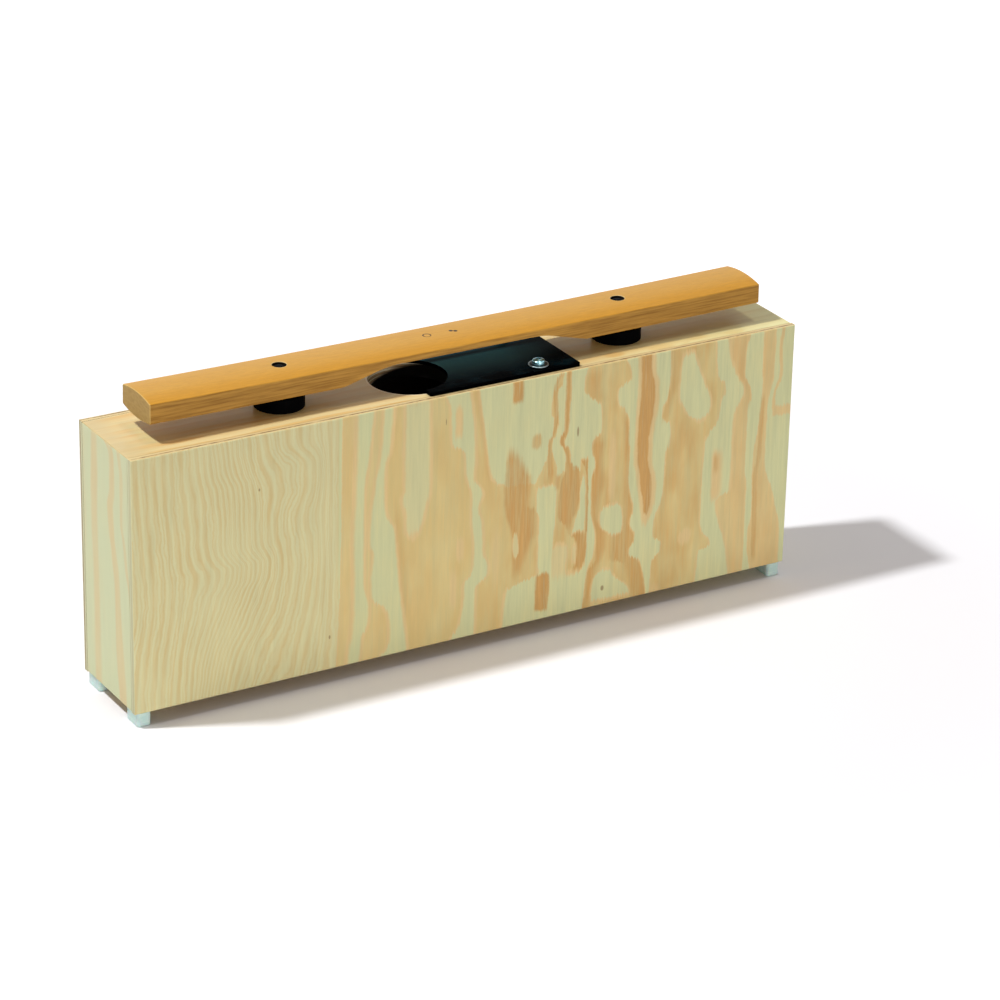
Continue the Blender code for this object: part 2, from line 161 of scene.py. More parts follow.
class Finish:
    """A material whose nodes are added by the lines that describe it."""

    def __init__(self, name, **constants):
        self.material = bpy.data.materials.new(name)
        self.material.use_nodes = True
        self.tree = self.material.node_tree
        self.shader = self.tree.nodes["Principled BSDF"]
        for socket, value in constants.items():
            self.shader.inputs[socket.replace("_", " ")].default_value = value
        self.coordinates = self.tree.nodes.new("ShaderNodeTexCoord")

    def add(self, kind, settings=None, values=None, output=0):
        node = self.tree.nodes.new(kind)
        for name, value in (settings or {}).items():
            if name == "stops":
                self.set_stops(node.color_ramp, value)
            elif name == "points":
                self.set_points(node.mapping, value)
            else:
                setattr(node, name, value)
        for name, value in (values or {}).items():
            self.feed(node.inputs[name], value)
        return Wire(self, node.outputs[output])

    def set_stops(self, ramp, stops):
        while len(ramp.elements) < len(stops):
            ramp.elements.new(1.0)
        for element, (position, colour) in zip(ramp.elements, stops):
            element.position = position
            element.color = colour if isinstance(colour, tuple) else (colour, colour, colour, 1.0)

    def set_points(self, mapping, points):
        line = mapping.curves[0].points
        while len(line) < len(points):
            line.new(1.0, 1.0)
        for point, place in zip(line, points):
            point.location = place
            point.handle_type = "AUTO_CLAMPED"
        mapping.update()

    def feed(self, socket, value):
        if isinstance(value, Wire):
            self.tree.links.new(value.socket, socket)
        else:
            socket.default_value = value

    def place(self):
        """Position on the piece in millimetres, as three wires."""
        wire = Wire(self, self.coordinates.outputs["Object"])
        parts = self.tree.nodes.new("ShaderNodeSeparateXYZ")
        self.feed(parts.inputs[0], wire)
        return [Wire(self, parts.outputs[i]) / MM for i in range(3)]

    def facing(self):
        """Direction that the surface faces, as three wires."""
        parts = self.tree.nodes.new("ShaderNodeSeparateXYZ")
        self.feed(parts.inputs[0], Wire(self, self.coordinates.outputs["Normal"]))
        return [Wire(self, parts.outputs[i]) for i in range(3)]

    def noise(self, x, y, z=0.0, detail=2.0, roughness=0.5, seed=0.0):
        """Soft noise from -1 to 1 about 0; x, y and z count in grains of the noise."""
        vector = self.add("ShaderNodeCombineXYZ", None, {0: x, 1: y, 2: z})
        settings = {"noise_dimensions": "4D"}
        values = {"Vector": vector, "W": seed, "Scale": 1.0, "Detail": detail, "Roughness": roughness}
        return (self.add("ShaderNodeTexNoise", settings, values) - 0.5) * 2.0

    def curve(self, value, points):
        """A number that follows another one smoothly through points, given as {number: result}."""
        if not isinstance(points, dict):
            return points
        first, last = min(points), max(points)
        low, high = min(points.values()), max(points.values())
        line = [((at - first) / (last - first), (points[at] - low) / (high - low)) for at in sorted(points)]
        along = (value - first) / (last - first)
        return low + (high - low) * self.add("ShaderNodeFloatCurve", {"points": line}, {"Value": along})

    def blend(self, below, above, amount, how="MIX"):
        """Colour above over colour below, by an amount from 0 to 1."""
        settings = {"data_type": "RGBA", "blend_type": how, "clamp_factor": True}
        return self.add("ShaderNodeMix", settings, {0: amount, 6: below, 7: above}, output=2)

    def shade(self, colour, amount):
        """The same colour, lighter or darker by a number near 1."""
        settings = {"operation": "SCALE"}
        return self.add("ShaderNodeVectorMath", settings, {0: colour, "Scale": amount})

    def bump(self, height, depth):
        """Relief from a height of 0 to 1 that is depth metres deep."""
        values = {"Height": height, "Distance": depth, "Strength": 1.0}
        self.feed(self.shader.inputs["Normal"], self.add("ShaderNodeBump", None, values))

    def set(self, **values):
        for name, value in values.items():
            self.feed(self.shader.inputs[name.replace("_", " ")], value)
        return self.material


# %% Put a finish on a piece
def dress(piece, material):
    piece.data.materials.clear()
    piece.data.materials.append(material)


# %% [markdown]
# ## Pine veneer
# The box is pine plywood. Pine's growth rings show as tan lines in pale, slightly green wood. How they look
# depends on the cut: square to the rings they are narrow and even, and along them they open into broad
# bands and flames. Painting a picture of that would only work from one side, so the figure is worked out from
# the position on the board: lines and bands whose edges wander, ragged by noise that is much longer along
# the grain than across it.

# %% Colours of the pine
PALE_WOOD = linear(199, 200, 151)
YELLOW_WOOD = linear(208, 196, 138)
TAN_WOOD = linear(209, 187, 125)
DEEP_TAN = linear(196, 161, 100)
FLAME_WOOD = linear(192, 149, 85)
FINE_PALE = linear(206, 201, 153)
FINE_LINE = linear(201, 178, 121)
DARK_LINE = linear(158, 112, 66)
GLUE_BROWN = linear(128, 100, 62)
# Near black for the box's inner faces: painted shade, as the inside stands in deep shade.
PAINTED_SHADE_INSIDE = linear(20, 13, 9)


# %% What every pine surface shares: fibres, flecks and bands
def fibres(finish, across, along, seed):
    """Fine streaks along the grain, from -1 to 1."""
    fine = finish.noise(across / 1.1, along / 24.0, 0.0, 4.0, 0.65, seed)
    broad = finish.noise(across / 5.0, along / 70.0, 0.0, 2.0, 0.5, seed + 3.7)
    return fine * 0.55 + broad * 0.45


def flecks(finish, across, along, seed):
    """Small dark resin flecks, from 0 to 1, a few in a hand's breadth."""
    grain = finish.noise(across / 1.1, along / 4.5, 0.0, 1.0, 0.5, seed)
    rare = finish.noise(across / 19.0, along / 31.0, 0.0, 1.0, 0.5, seed + 9.1)
    return grain.step(0.66, 0.8) * rare.step(0.25, 0.4)


def band(finish, across, along, left, right, soft=(1.5, 1.5), ends=None):
    """1 between two wandering edges and 0 outside them; an edge is {distance along: place across}."""
    start = (across - finish.curve(along, left)).step(-soft[0], soft[0])
    stop = (across - finish.curve(along, right)).step(-soft[1], soft[1])
    inside = start * (1.0 - stop)
    if ends:
        top, bottom, fade = ends
        inside = inside * along.step(top - fade, top + fade) * (1.0 - along.step(bottom - fade, bottom + fade))
    return inside


def strongest(amounts):
    """The largest of several amounts, each taken in as soon as it is made."""
    total = None
    for amount in amounts:
        total = amount if total is None else total.largest(amount)
    return total


# %% [markdown]
# The front panel carries the figure that the eye goes to. Its left third is cut square to the rings and has
# fine wavy lines. At a seam in the veneer it changes to broad bands, and further right to flames with dark
# edges. All places below are millimetres across from the panel's left end and down from its top. An edge that
# wanders is a few heights, each with its place across, and the curve node draws a smooth line through them.

# %% Front panel: fine lines on the left
SEAM = 148.5
LEFT_SWAY = {0: 0, 20: 0.6, 40: 1.6, 60: 3.3, 80: 4.8, 95: 5.9, 110: 5.0, 120: 3.5, 130: 1.5, 150: -1.3, 177: -3.1}
MIDDLE_SWAY = {0: -0.5, 22: 2.7, 35: 7.1, 50: 8.4, 71: 8.4, 84: 13.2, 91: 16.8, 99: 15.5, 106: 11.5, 115: 8,
               133: 0, 150: -9, 177: -18}
RIGHT_SWAY = {0: 0, 5: 0, 20: 7, 29: 12, 40: 12.4, 50: 10, 60: 6, 67: 5, 80: 8, 95: 9, 115: 6.7, 138: 2, 177: -7}
LINES_BEFORE = {-20: 0, 0: 3.2, 30: 7.9, 50: 11.5, 62: 15, 80: 20, 95: 22.6, 125: 26.4, 150: 30}


def fine_lines(finish, x, drop):
    """Narrow growth lines that sway together as they run down the panel."""
    sway = finish.curve(drop, LEFT_SWAY)
    sway = sway + (finish.curve(drop, MIDDLE_SWAY) - sway) * x.step(25.0, 75.0)
    sway = sway + (finish.curve(drop, RIGHT_SWAY) - sway) * x.step(88.0, 116.0)
    sway = sway * (1.0 - x.step(126.0, 146.0))
    wander = finish.noise(x / 11.0, drop / 20.0, 0.0, 4.0, 0.6, 5.1) * 1.7
    count = finish.curve(x - sway + wander, LINES_BEFORE)
    ring = count.fraction()
    line = ring.step(0.1, 0.62) * (1.0 - ring.step(0.72, 1.0))
    hair = abs((count * 2.6 + wander * 0.5).fraction() - 0.5).step(0.15, 0.5)
    strength = finish.noise(count * 0.9, drop / 45.0, 0.0, 2.0, 0.6, 8.2).step(-0.45, 0.45)
    faded = finish.noise(x / 40.0, drop / 50.0, 0.0, 1.0, 0.5, 8.9).step(-0.5, 0.3)
    return (line * (0.12 + 0.75 * strength) + hair * (1.0 - strength) * 0.6) * (0.55 + 0.45 * faded)


# %% Front panel: broad tan bands in the middle and on the right
# Each has a left edge, a right edge, how soft the two are, where it starts and ends, and its strength.
BANDS = (
    ({0: 150.3, 90: 149.4, 150: 147.6, 177: 145.8}, {0: 160, 60: 158.6, 90: 157.3, 120: 158, 177: 153},
     (0.6, 3.2), None, 0.95),
    ({0: 174, 30: 170.7, 60: 167.2, 120: 167, 142: 171, 160: 165.7, 177: 163.6},
     {0: 180, 30: 177.5, 60: 172.4, 92: 169.5, 104: 172.5, 120: 170.6, 130: 171, 142: 181, 160: 185, 177: 178.6},
     (2.0, 2.4), None, 0.95),
    ({0: 188.4, 30: 185.7, 45: 182.2, 66: 182.2, 90: 190.2, 106: 191.5, 142: 195.5, 177: 199.9},
     {0: 225.6, 10: 229.2, 35: 231, 43: 240.5, 60: 242, 78: 246.5, 90: 246.5, 115: 248.7, 130: 247.8, 138: 241.6,
      150: 241.1, 163: 239.4, 177: 231.8}, (2.2, 1.8), None, 1.0),
    ({0: 245.1, 30: 249.1, 50: 250, 62: 249, 75: 255.8, 85: 253.1, 95: 255.8, 120: 257.5, 130: 261.1, 138: 258.4,
      145: 251.3, 177: 251.3},
     {0: 250.5, 20: 253.6, 45: 257.5, 60: 260.2, 68: 264, 74: 276, 78: 297, 142: 299, 150: 275, 177: 271},
     (2.0, 2.0), None, 1.0),
    ({0: 313.4, 9: 311.6, 13: 308.1, 27: 307.2, 35: 309.4, 43: 308.1, 50: 305.4, 57: 305, 64: 302, 70: 299},
     {0: 316.4, 9: 314.6, 13: 311.3, 27: 310.2, 35: 312.4, 43: 311.1, 50: 307.9, 57: 308.7, 64: 311, 72: 312,
      80: 312}, (0.5, 0.5), (1, 80, 1.2), 1.0),
    ({0: 318.3, 13: 318.9, 27: 317.9, 44: 317.2, 49: 314.3, 55: 317.3, 62: 319, 70: 318.6, 76: 313, 100: 312.4,
      130: 310.5, 150: 310}, {0: 321.3, 13: 321.6, 27: 320.8, 44: 319.9, 49: 317.6, 55: 320.4, 62: 322.9, 70: 323.3,
                             74: 335, 100: 337, 120: 337.2, 142: 336, 150: 331},
     (0.6, 0.7), (-5, 148, 4), 1.0),
    (331, 336.2, (0.8, 0.6), (65.5, 76, 1), 1.0),
    ({0: 335, 13: 332.6, 20: 336, 27: 343.5, 33: 346.6, 46: 347, 52: 342.3, 60: 340, 71: 342.5, 84: 340, 106: 340.5,
      128: 344, 137: 343.6, 149: 338.8, 177: 335.5},
     {0: 364, 13: 368.6, 18: 361.8, 25: 358.2, 37: 364.4, 48: 368.2, 58: 367, 67: 369.3, 85: 368.4, 97: 370,
      112: 373.4, 120: 371, 133: 375.5, 142: 370.8, 149: 378.6, 160: 383, 177: 386}, (0.9, 1.0), None, 1.0),
    ({0: 400, 18: 400.4, 37: 397, 46: 394.7, 53: 400.8, 66: 402.2, 75: 398.7, 102: 397.8, 115: 394.2, 129: 390.7,
      135: 391.1, 142: 397.5, 151: 393, 160: 389.8, 177: 389.8},
     {0: 436, 25: 437.7, 37: 444.8, 43: 442, 58: 439.5, 66: 433, 73: 430, 106: 428.2, 129: 428, 138: 429.7,
      144: 433.5, 151: 436.8, 154: 428, 177: 426}, (0.9, 1.2), None, 1.0),
    ({0: 446, 18: 450, 31: 456.3, 40: 460.7, 49: 457.2, 62: 453, 98: 452.7, 113: 452, 119: 441.5, 133: 443.9,
      151: 450, 177: 454.5},
     {0: 463.4, 25: 459.8, 46: 466, 53: 463.4, 98: 463.4, 115: 465.2, 177: 465.2}, (1.8, 1.0), None, 0.85),
    ({0: 474.9, 25: 474.9, 40: 475.8, 71: 473.6, 102: 470.5, 133: 471.4, 151: 469.1, 177: 472.5},
     {0: 484.2, 27: 483.8, 40: 482.9, 53: 479.8, 93: 479.5, 106: 481.1, 118: 486.4, 136: 490.9, 150: 494.4,
      177: 495}, (0.8, 1.2), None, 0.85),
    ({0: 489.6, 18: 488.1, 31: 489.4, 43: 486.3, 53: 484.1, 60: 485.4}, {0: 491.8, 18: 490.1, 31: 491.4, 43: 488.3,
                                                                     53: 486.1, 60: 488.4},
     (0.7, 0.7), (-5, 62, 1.5), 0.7),
    (485, 500, (1.0, 1.0), (58, 64, 1.5), 0.55),
    (203.5, 208, (1.2, 1.2), (-5, 60, 14), 0.6),
    (234, 239, (1.2, 1.2), (11, 30, 4), 0.5),
    (437, 443, (2.0, 4.0), (84, 116, 6), 0.6),
    ({0: 374, 18: 375, 44: 374, 71: 373.5, 84: 375.5, 98: 377.5, 106: 379, 119: 381},
     {0: 387, 12: 388, 29: 391, 42: 390, 55: 388, 71: 387, 89: 390, 97: 391, 113: 389, 122: 386}, (1.8, 1.8),
     (-5, 124, 4), 0.5),
)

# %% Front panel: pale lenses inside the bands
LENSES = (
    ({0: 195.5, 60: 195.5, 66: 193.7, 78: 196.4, 90: 197, 98: 203}, {0: 215.4, 60: 215.9, 75: 213.2, 90: 208.8, 98: 204},
     (2.4, 2.4), (-5, 97, 8), 0.95),
    ({108: 281.5, 116: 279, 122: 279.3, 128: 281}, {108: 282, 116: 283.6, 122: 284, 128: 282}, (0.7, 0.7),
     (109, 128, 2), 0.9),
    ({78: 300, 84: 296.8, 96: 297, 102: 299.6, 115: 299, 133: 299, 143: 303.5},
     {78: 306, 84: 308, 98: 309.6, 115: 309.6, 133: 307, 143: 305}, (0.8, 0.9), (80, 142, 2), 1.0),
    ({77: 333, 88: 330.8, 98: 331, 107: 328, 117: 325.5}, {77: 334, 88: 335.2, 98: 335.4, 107: 335.6, 117: 335},
     (0.6, 0.5), (77, 119, 1.5), 1.0),
    ({125: 312, 133: 309, 150: 309}, {125: 320, 133: 323, 142: 321.5, 150: 323}, (1.5, 1.0), (125, 152, 3), 0.85),
    (326, 329.5, (0.9, 0.9), (128, 141, 2.5), 0.8),
    ({103: 352, 109: 346.7, 118: 347.5, 124: 354, 128: 358}, {103: 360, 109: 365, 118: 366, 124: 365.6, 128: 362},
     (1.4, 1.2), (104, 127, 2), 1.0),
    ({150: 350, 158: 343, 168: 341.4, 176: 342}, {150: 356, 158: 361, 168: 371.5, 173: 373, 177: 362}, (1.3, 1.3),
     (151, 174, 2), 1.0),
    (354, 358, (1.6, 1.6), (54, 98, 8), 0.5),
    ({3: 410, 20: 407.7, 30: 407.2, 45: 412, 55: 421}, {3: 418, 20: 424.5, 30: 428.5, 45: 433.8, 55: 430},
     (1.6, 1.4), (4, 56, 3), 1.0),
    ({134: 414, 141: 412, 147: 414}, {134: 419, 141: 421, 147: 418}, (2.0, 2.0), (136, 145, 3), 0.45),
    (236.2, 241.5, (1.2, 1.2), (105, 119, 4), 0.45),
    (231.5, 236, (1.2, 1.2), (128, 152, 6), 0.35),
    (264, 268, (3.0, 3.0), (106, 140, 12), 0.25),
    (390, 398, (2.0, 2.0), (172, 190, 4), 0.3),
)

# %% Front panel: orange-brown flames
FLAMES = (
    ({49: 274, 60: 273.5, 80: 272, 92: 273, 106: 277, 120: 279, 144: 279},
     {49: 281, 60: 285.7, 67: 289.2, 74: 292, 90: 291, 97: 297, 110: 297, 118: 294, 132: 288, 144: 286},
     (1.6, 3.5), (50, 140, 6), 0.7),
    ({60: 277, 80: 276, 92: 279, 106: 282, 120: 284}, {60: 283, 80: 287, 92: 287, 106: 290, 120: 290},
     (2.5, 3.0), (62, 118, 8), 0.55),
    (277.3, 285, (1.2, 1.2), (-5, 15, 2), 0.85),
    ({38: 294.5, 46: 292.5, 52: 294}, {38: 298, 46: 299.8, 52: 299}, (1.4, 1.4), (41, 51, 2), 0.5),
    ({142: 299, 150: 297.8, 171: 297.8}, {142: 306, 150: 308.7, 171: 307.5}, (1.2, 1.0), (144, 171, 1.6), 0.9),
    ({0: 318.3, 44: 317.2, 49: 314.3, 55: 317.3, 66: 319.5, 78: 316, 100: 314, 112: 320, 120: 323},
     {0: 321.3, 44: 319.9, 49: 317.6, 55: 320.4, 66: 322.9, 74: 330, 90: 331, 104: 328, 112: 325, 120: 325},
     (1.0, 1.2), (-5, 116, 6), 0.7),
    ({0: 313.4, 13: 308.1, 35: 309.4, 50: 305.4, 57: 305, 66: 305}, {0: 316.4, 13: 311.3, 35: 312.4, 50: 307.9,
                                                                  57: 308.7, 66: 309}, (0.7, 0.9), (2, 76, 5), 0.6),
    ({66: 331.5, 80: 335.7, 98: 336, 120: 335.8}, {66: 336, 80: 337, 98: 337.6, 120: 337.6}, (0.5, 0.4),
     (66, 121, 1.5), 0.8),
    ({118: 322, 124: 328, 133: 330, 150: 326}, {118: 337, 133: 337, 150: 332}, (1.2, 0.7), (119, 147, 3), 0.8),
    (311.5, 315.5, (1.5, 2.0), (74, 84, 2), 0.5),
    ({0: 337, 13: 333, 27: 343.5}, {0: 352, 13: 345, 27: 350}, (1.5, 4.0), (5, 26, 4), 0.35),
    ({50: 342.5, 60: 340, 71: 342.5, 84: 340, 106: 340.5, 128: 345, 140: 345, 150: 339, 177: 335.5},
     {50: 349, 60: 349, 71: 348, 84: 350, 98: 347, 110: 346, 124: 352, 140: 350, 150: 345, 177: 341},
     (1.0, 3.0), (54, 190, 5), 0.65),
    ({30: 361, 48: 364, 67: 365.5, 97: 366, 112: 366.5, 128: 356, 142: 356, 150: 368, 177: 375},
     {30: 364, 48: 368, 67: 369, 97: 370, 112: 373, 120: 371, 133: 375, 142: 371, 149: 378, 160: 383, 177: 386},
     (3.0, 0.9), (40, 190, 8), 0.6),
    ({0: 376, 18: 377, 44: 376.1, 71: 375.6, 84: 377.8, 98: 379.6, 106: 381.4, 119: 382.5},
     {0: 384.5, 12: 385, 29: 388, 42: 387.3, 55: 385, 71: 384.2, 89: 387.3, 97: 388, 113: 386.4, 119: 384.5},
     (0.9, 0.9), (-5, 117, 1.5), 0.95),
    ({0: 400, 18: 400.4, 37: 397, 46: 395}, {0: 406, 18: 406, 37: 402, 46: 400}, (0.8, 2.5), (-5, 50, 4), 0.4),
    ({60: 402, 75: 399, 102: 398, 115: 394.5, 140: 396}, {60: 409, 75: 408, 102: 405, 115: 402, 140: 404},
     (1.0, 4.0), (64, 150, 8), 0.3),
    (438, 441.6, (1.5, 2.0), (85, 97, 4), 0.5),
    ({0: 457, 25: 455, 46: 462, 60: 461}, {0: 460, 25: 459.8, 46: 466, 60: 464}, (2.0, 1.0), (-5, 56, 6), 0.25),
    ({46: 474.4, 71: 473.8, 93: 473.5, 106: 471, 133: 471.8, 177: 473}, {46: 477.6, 71: 477.5, 93: 476.5, 106: 474.5,
                                                                        133: 475.5, 177: 476},
     (0.8, 1.0), (48, 170, 4), 0.5),
    ({0: 247, 20: 250, 60: 258}, {0: 251, 20: 254, 60: 260}, (2.0, 1.0), (-5, 66, 6), 0.3),
    ({88: 190, 120: 193, 142: 196}, {88: 195, 120: 198, 142: 201}, (1.0, 3.0), (70, 150, 12), 0.3),
    (200.0, 206.0, (1.5, 1.5), (-5, 20, 8), 0.3),
)
KNOTS = ((328, 44.8, 0.9, 4.0), (351, 165, 1.4, 2.2), (90, 38, 0.7, 1.2), (141, 154, 0.8, 1.6), (226.7, 18, 0.4, 2.5))


# %% Front panel: the finish
def front_panel_finish():
    finish = Finish("front_panel_pine", Coat_Weight=0.04, Coat_Roughness=0.4, Specular_IOR_Level=0.3)
    x, y, z = finish.place()
    x = x + (-panel_low.x / MM)
    drop = panel_high.z / MM - z

    ragged = finish.noise(x / 6.0, drop / 9.0, 0.0, 4.0, 0.7, 7.7)
    combed = finish.noise(x / 1.0, drop / 26.0, 0.0, 3.0, 0.6, 4.4)
    across = x + ragged * 1.2 + combed * 0.5
    along = drop + combed * 5.5

    def figure(pieces):
        return strongest(band(finish, across, along, *piece[:4]) * piece[4] for piece in pieces)

    lenses = figure(LENSES)
    bands = figure(BANDS) * (1.0 - lenses)
    flames = figure(FLAMES) * (1.0 - lenses)
    lines = fine_lines(finish, x, drop)

    streaks = fibres(finish, x, drop, 1.5)
    cloud = finish.noise(x / 18.0, drop / 40.0, 0.0, 2.0, 0.5, 3.9)
    depth = finish.noise(x / 9.0, drop / 45.0, 0.0, 3.0, 0.6, 6.9)
    pale = finish.blend(PALE_WOOD, YELLOW_WOOD, (cloud + streaks * 1.4).step(-0.4, 1.1) * 0.6)
    fine = finish.blend(FINE_PALE, FINE_LINE, lines)
    fine = finish.shade(fine, 1.0 + (cloud + depth) * 0.045)
    pale = finish.blend(fine, pale, x.step(SEAM - 2.0, SEAM))
    halo = bands * (1.0 - bands) * 3.0
    deeper = (depth + cloud + streaks * 1.6).step(-0.5, 0.9)
    tan = finish.blend(TAN_WOOD, DEEP_TAN, deeper * (0.4 + 0.6 * x.step(240.0, 300.0)))
    colour = finish.blend(pale, tan, bands * (0.93 + cloud * 0.4 + streaks * 0.3))
    colour = finish.blend(colour, linear(215, 184, 128), halo.smallest(0.75))
    colour = finish.blend(colour, FLAME_WOOD, flames * (1.1 + (streaks + combed) * 1.1))
    grain = 0.17 + 0.02 * x.step(SEAM, SEAM + 1.0) + 0.1 * x.step(240.0, 300.0)
    grain = grain + 0.2 * flames.largest(bands * 0.5)
    # Painted light: the panel grows a little lighter towards the bottom.
    colour = finish.shade(colour, 1.0 + streaks * grain + (drop - 90.0) * 0.0003)

    dots = strongest(1.0 - ((((x - at) / wide) ** 2.0) + (((drop - down) / high) ** 2.0)).step(0.3, 1.2)
                     for at, down, wide, high in KNOTS)
    colour = finish.blend(colour, linear(140, 116, 78), dots * 0.75)
    colour = finish.blend(colour, DARK_LINE, flecks(finish, x, drop, 2.2) * 0.35)
    colour = edge_of_panel(finish, colour, x, y, -1)
    finish.bump(streaks * 0.5 + 0.5, 0.00002)
    return finish.set(Base_Color=colour, Roughness=0.5 + streaks * 0.05)


# %% Edges of a panel
def edge_of_panel(finish, colour, x, y, side):
    """On the narrow edges the face veneer is a pale strip of short dashes with a brown glue line behind it."""
    _, facing_y, facing_z = finish.facing()
    depth = abs(panel_low.y / MM) - y * side
    on_edge = 1.0 - (facing_y * side).step(0.35, 0.75)
    on_top = abs(facing_z).step(0.4, 0.6)
    grain = finish.noise(x / 45.0, y / 1.2, 0.0, 2.0, 0.5, 12.5)
    core = finish.blend(linear(212, 190, 138), linear(205, 170, 112), grain.step(-0.2, 0.7))
    end_core = finish.blend(linear(188, 187, 146), linear(194, 176, 124), grain.step(-0.2, 0.7))
    core = finish.blend(end_core, core, on_top)
    dashes = finish.noise(x / 2.6, y / 6.0, 0.0, 2.0, 0.6, 13.5)
    veneer = 1.0 - depth.step(1.0, 1.6)
    core = finish.blend(core, FLAME_WOOD, dashes.step(0.0, 0.5) * veneer * 0.75)
    colour = finish.blend(colour, core, on_edge * depth.step(0.25, 0.7))
    broken = finish.noise(x / 7.0, y / 30.0, 0.0, 3.0, 0.6, 14.5)
    line = 1.0 - abs(depth - 2.2).step(0.35, 0.95)
    colour = finish.blend(colour, GLUE_BROWN, line * on_edge * (0.75 + 1.7 * broken))
    # Painted shade: the panel's inner face is made near black.
    inside = 1.0 - (facing_y * side).step(-0.9, -0.6)
    return finish.blend(colour, PAINTED_SHADE_INSIDE, inside)


dress(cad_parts["front_panel"], front_panel_finish())
print("front panel dressed:", len(BANDS), "bands,", len(LENSES), "lenses and", len(FLAMES), "flames")

# %% [markdown]
# The back panel is never seen in the picture, but the part is turned round by whoever uses it. It gets the
# same pine with quieter figure: the fine lines over its whole length, and some broad soft bands.

# %% Back panel
def back_panel_finish():
    finish = Finish("back_panel_pine", Coat_Weight=0.04, Coat_Roughness=0.4, Specular_IOR_Level=0.3)
    x, y, z = finish.place()
    sway = finish.noise(x / 140.0, z / 90.0, 0.0, 1.0, 0.4, 21.3) * 16.0
    wander = finish.noise(x / 24.0, z / 50.0, 0.0, 2.0, 0.5, 25.1) * 3.0
    spread = finish.noise(x / 170.0, z / 400.0, 0.0, 1.0, 0.4, 31.0) * 60.0
    ring = ((x + sway + wander + spread) / 12.0).fraction()
    line = ring.step(0.15, 0.85) * (1.0 - ring.step(0.9, 1.0))
    strength = finish.noise(x / 40.0, z / 160.0, 0.0, 1.0, 0.5, 28.2).step(-0.6, 0.5)
    colour = finish.blend(PALE_WOOD, TAN_WOOD, line * (0.4 + 0.6 * strength))
    colour = finish.blend(colour, FLAME_WOOD, line.step(0.7, 1.0) * strength * 0.4)
    streaks = fibres(finish, x, z, 22.5)
    colour = finish.shade(colour, 1.0 + streaks * 0.045)
    colour = finish.blend(colour, DARK_LINE, flecks(finish, x, z, 24.2) * 0.5)
    colour = edge_of_panel(finish, colour, x, y, 1)
    finish.bump(streaks * 0.5 + line * 0.25, 0.00004)
    return finish.set(Base_Color=colour, Roughness=0.46 + streaks * 0.05)


dress(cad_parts["back_panel"], back_panel_finish())

# %% [markdown]
# ## Frame boards
# The frame is one strip of pine plywood, cut into four with mitred ends and folded round, so its grain runs
# over the top and on down both ends. Where the plywood is cut, as in the wall of the sound hole, its layers
# show: the layers' glue gives thin dark lines, and each second layer shows end grain and is darker.

# %% Layers of the plywood, seen in a cut
LAYER = 1.45


def plywood_layers(finish, depth, around):
    """Colour of the layers at a depth below the face, in millimetres."""
    count = depth / LAYER
    within = count.fraction()
    crossed = (count * 0.5).fraction().step(0.49, 0.51)
    glue = 1.0 - (within.smallest(1.0 - within)).step(0.04, 0.14)
    rough = finish.noise(around / 0.7, depth / 0.5, 0.0, 2.0, 0.6, 41.0)
    colour = finish.blend(linear(255, 248, 218), linear(214, 190, 148), crossed)
    colour = finish.shade(colour, 1.0 + rough * 0.12)
    return finish.blend(colour, linear(92, 72, 50), glue * 0.7)


# %% Top and bottom boards
top_low, top_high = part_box("top_board")
HOLE_X = -29.5
HOLE_RADIUS = 28.0
TOP_PATCHES = ((-208, -23.5, 18, 3.2), (-165, -18, 50, 2.5), (-60, -33, 16, 1.8), (112, -27, 9, 4.5),
               (147, -30, 12, 4.5), (178, -26, 10, 4), (206, -29, 9, 4))


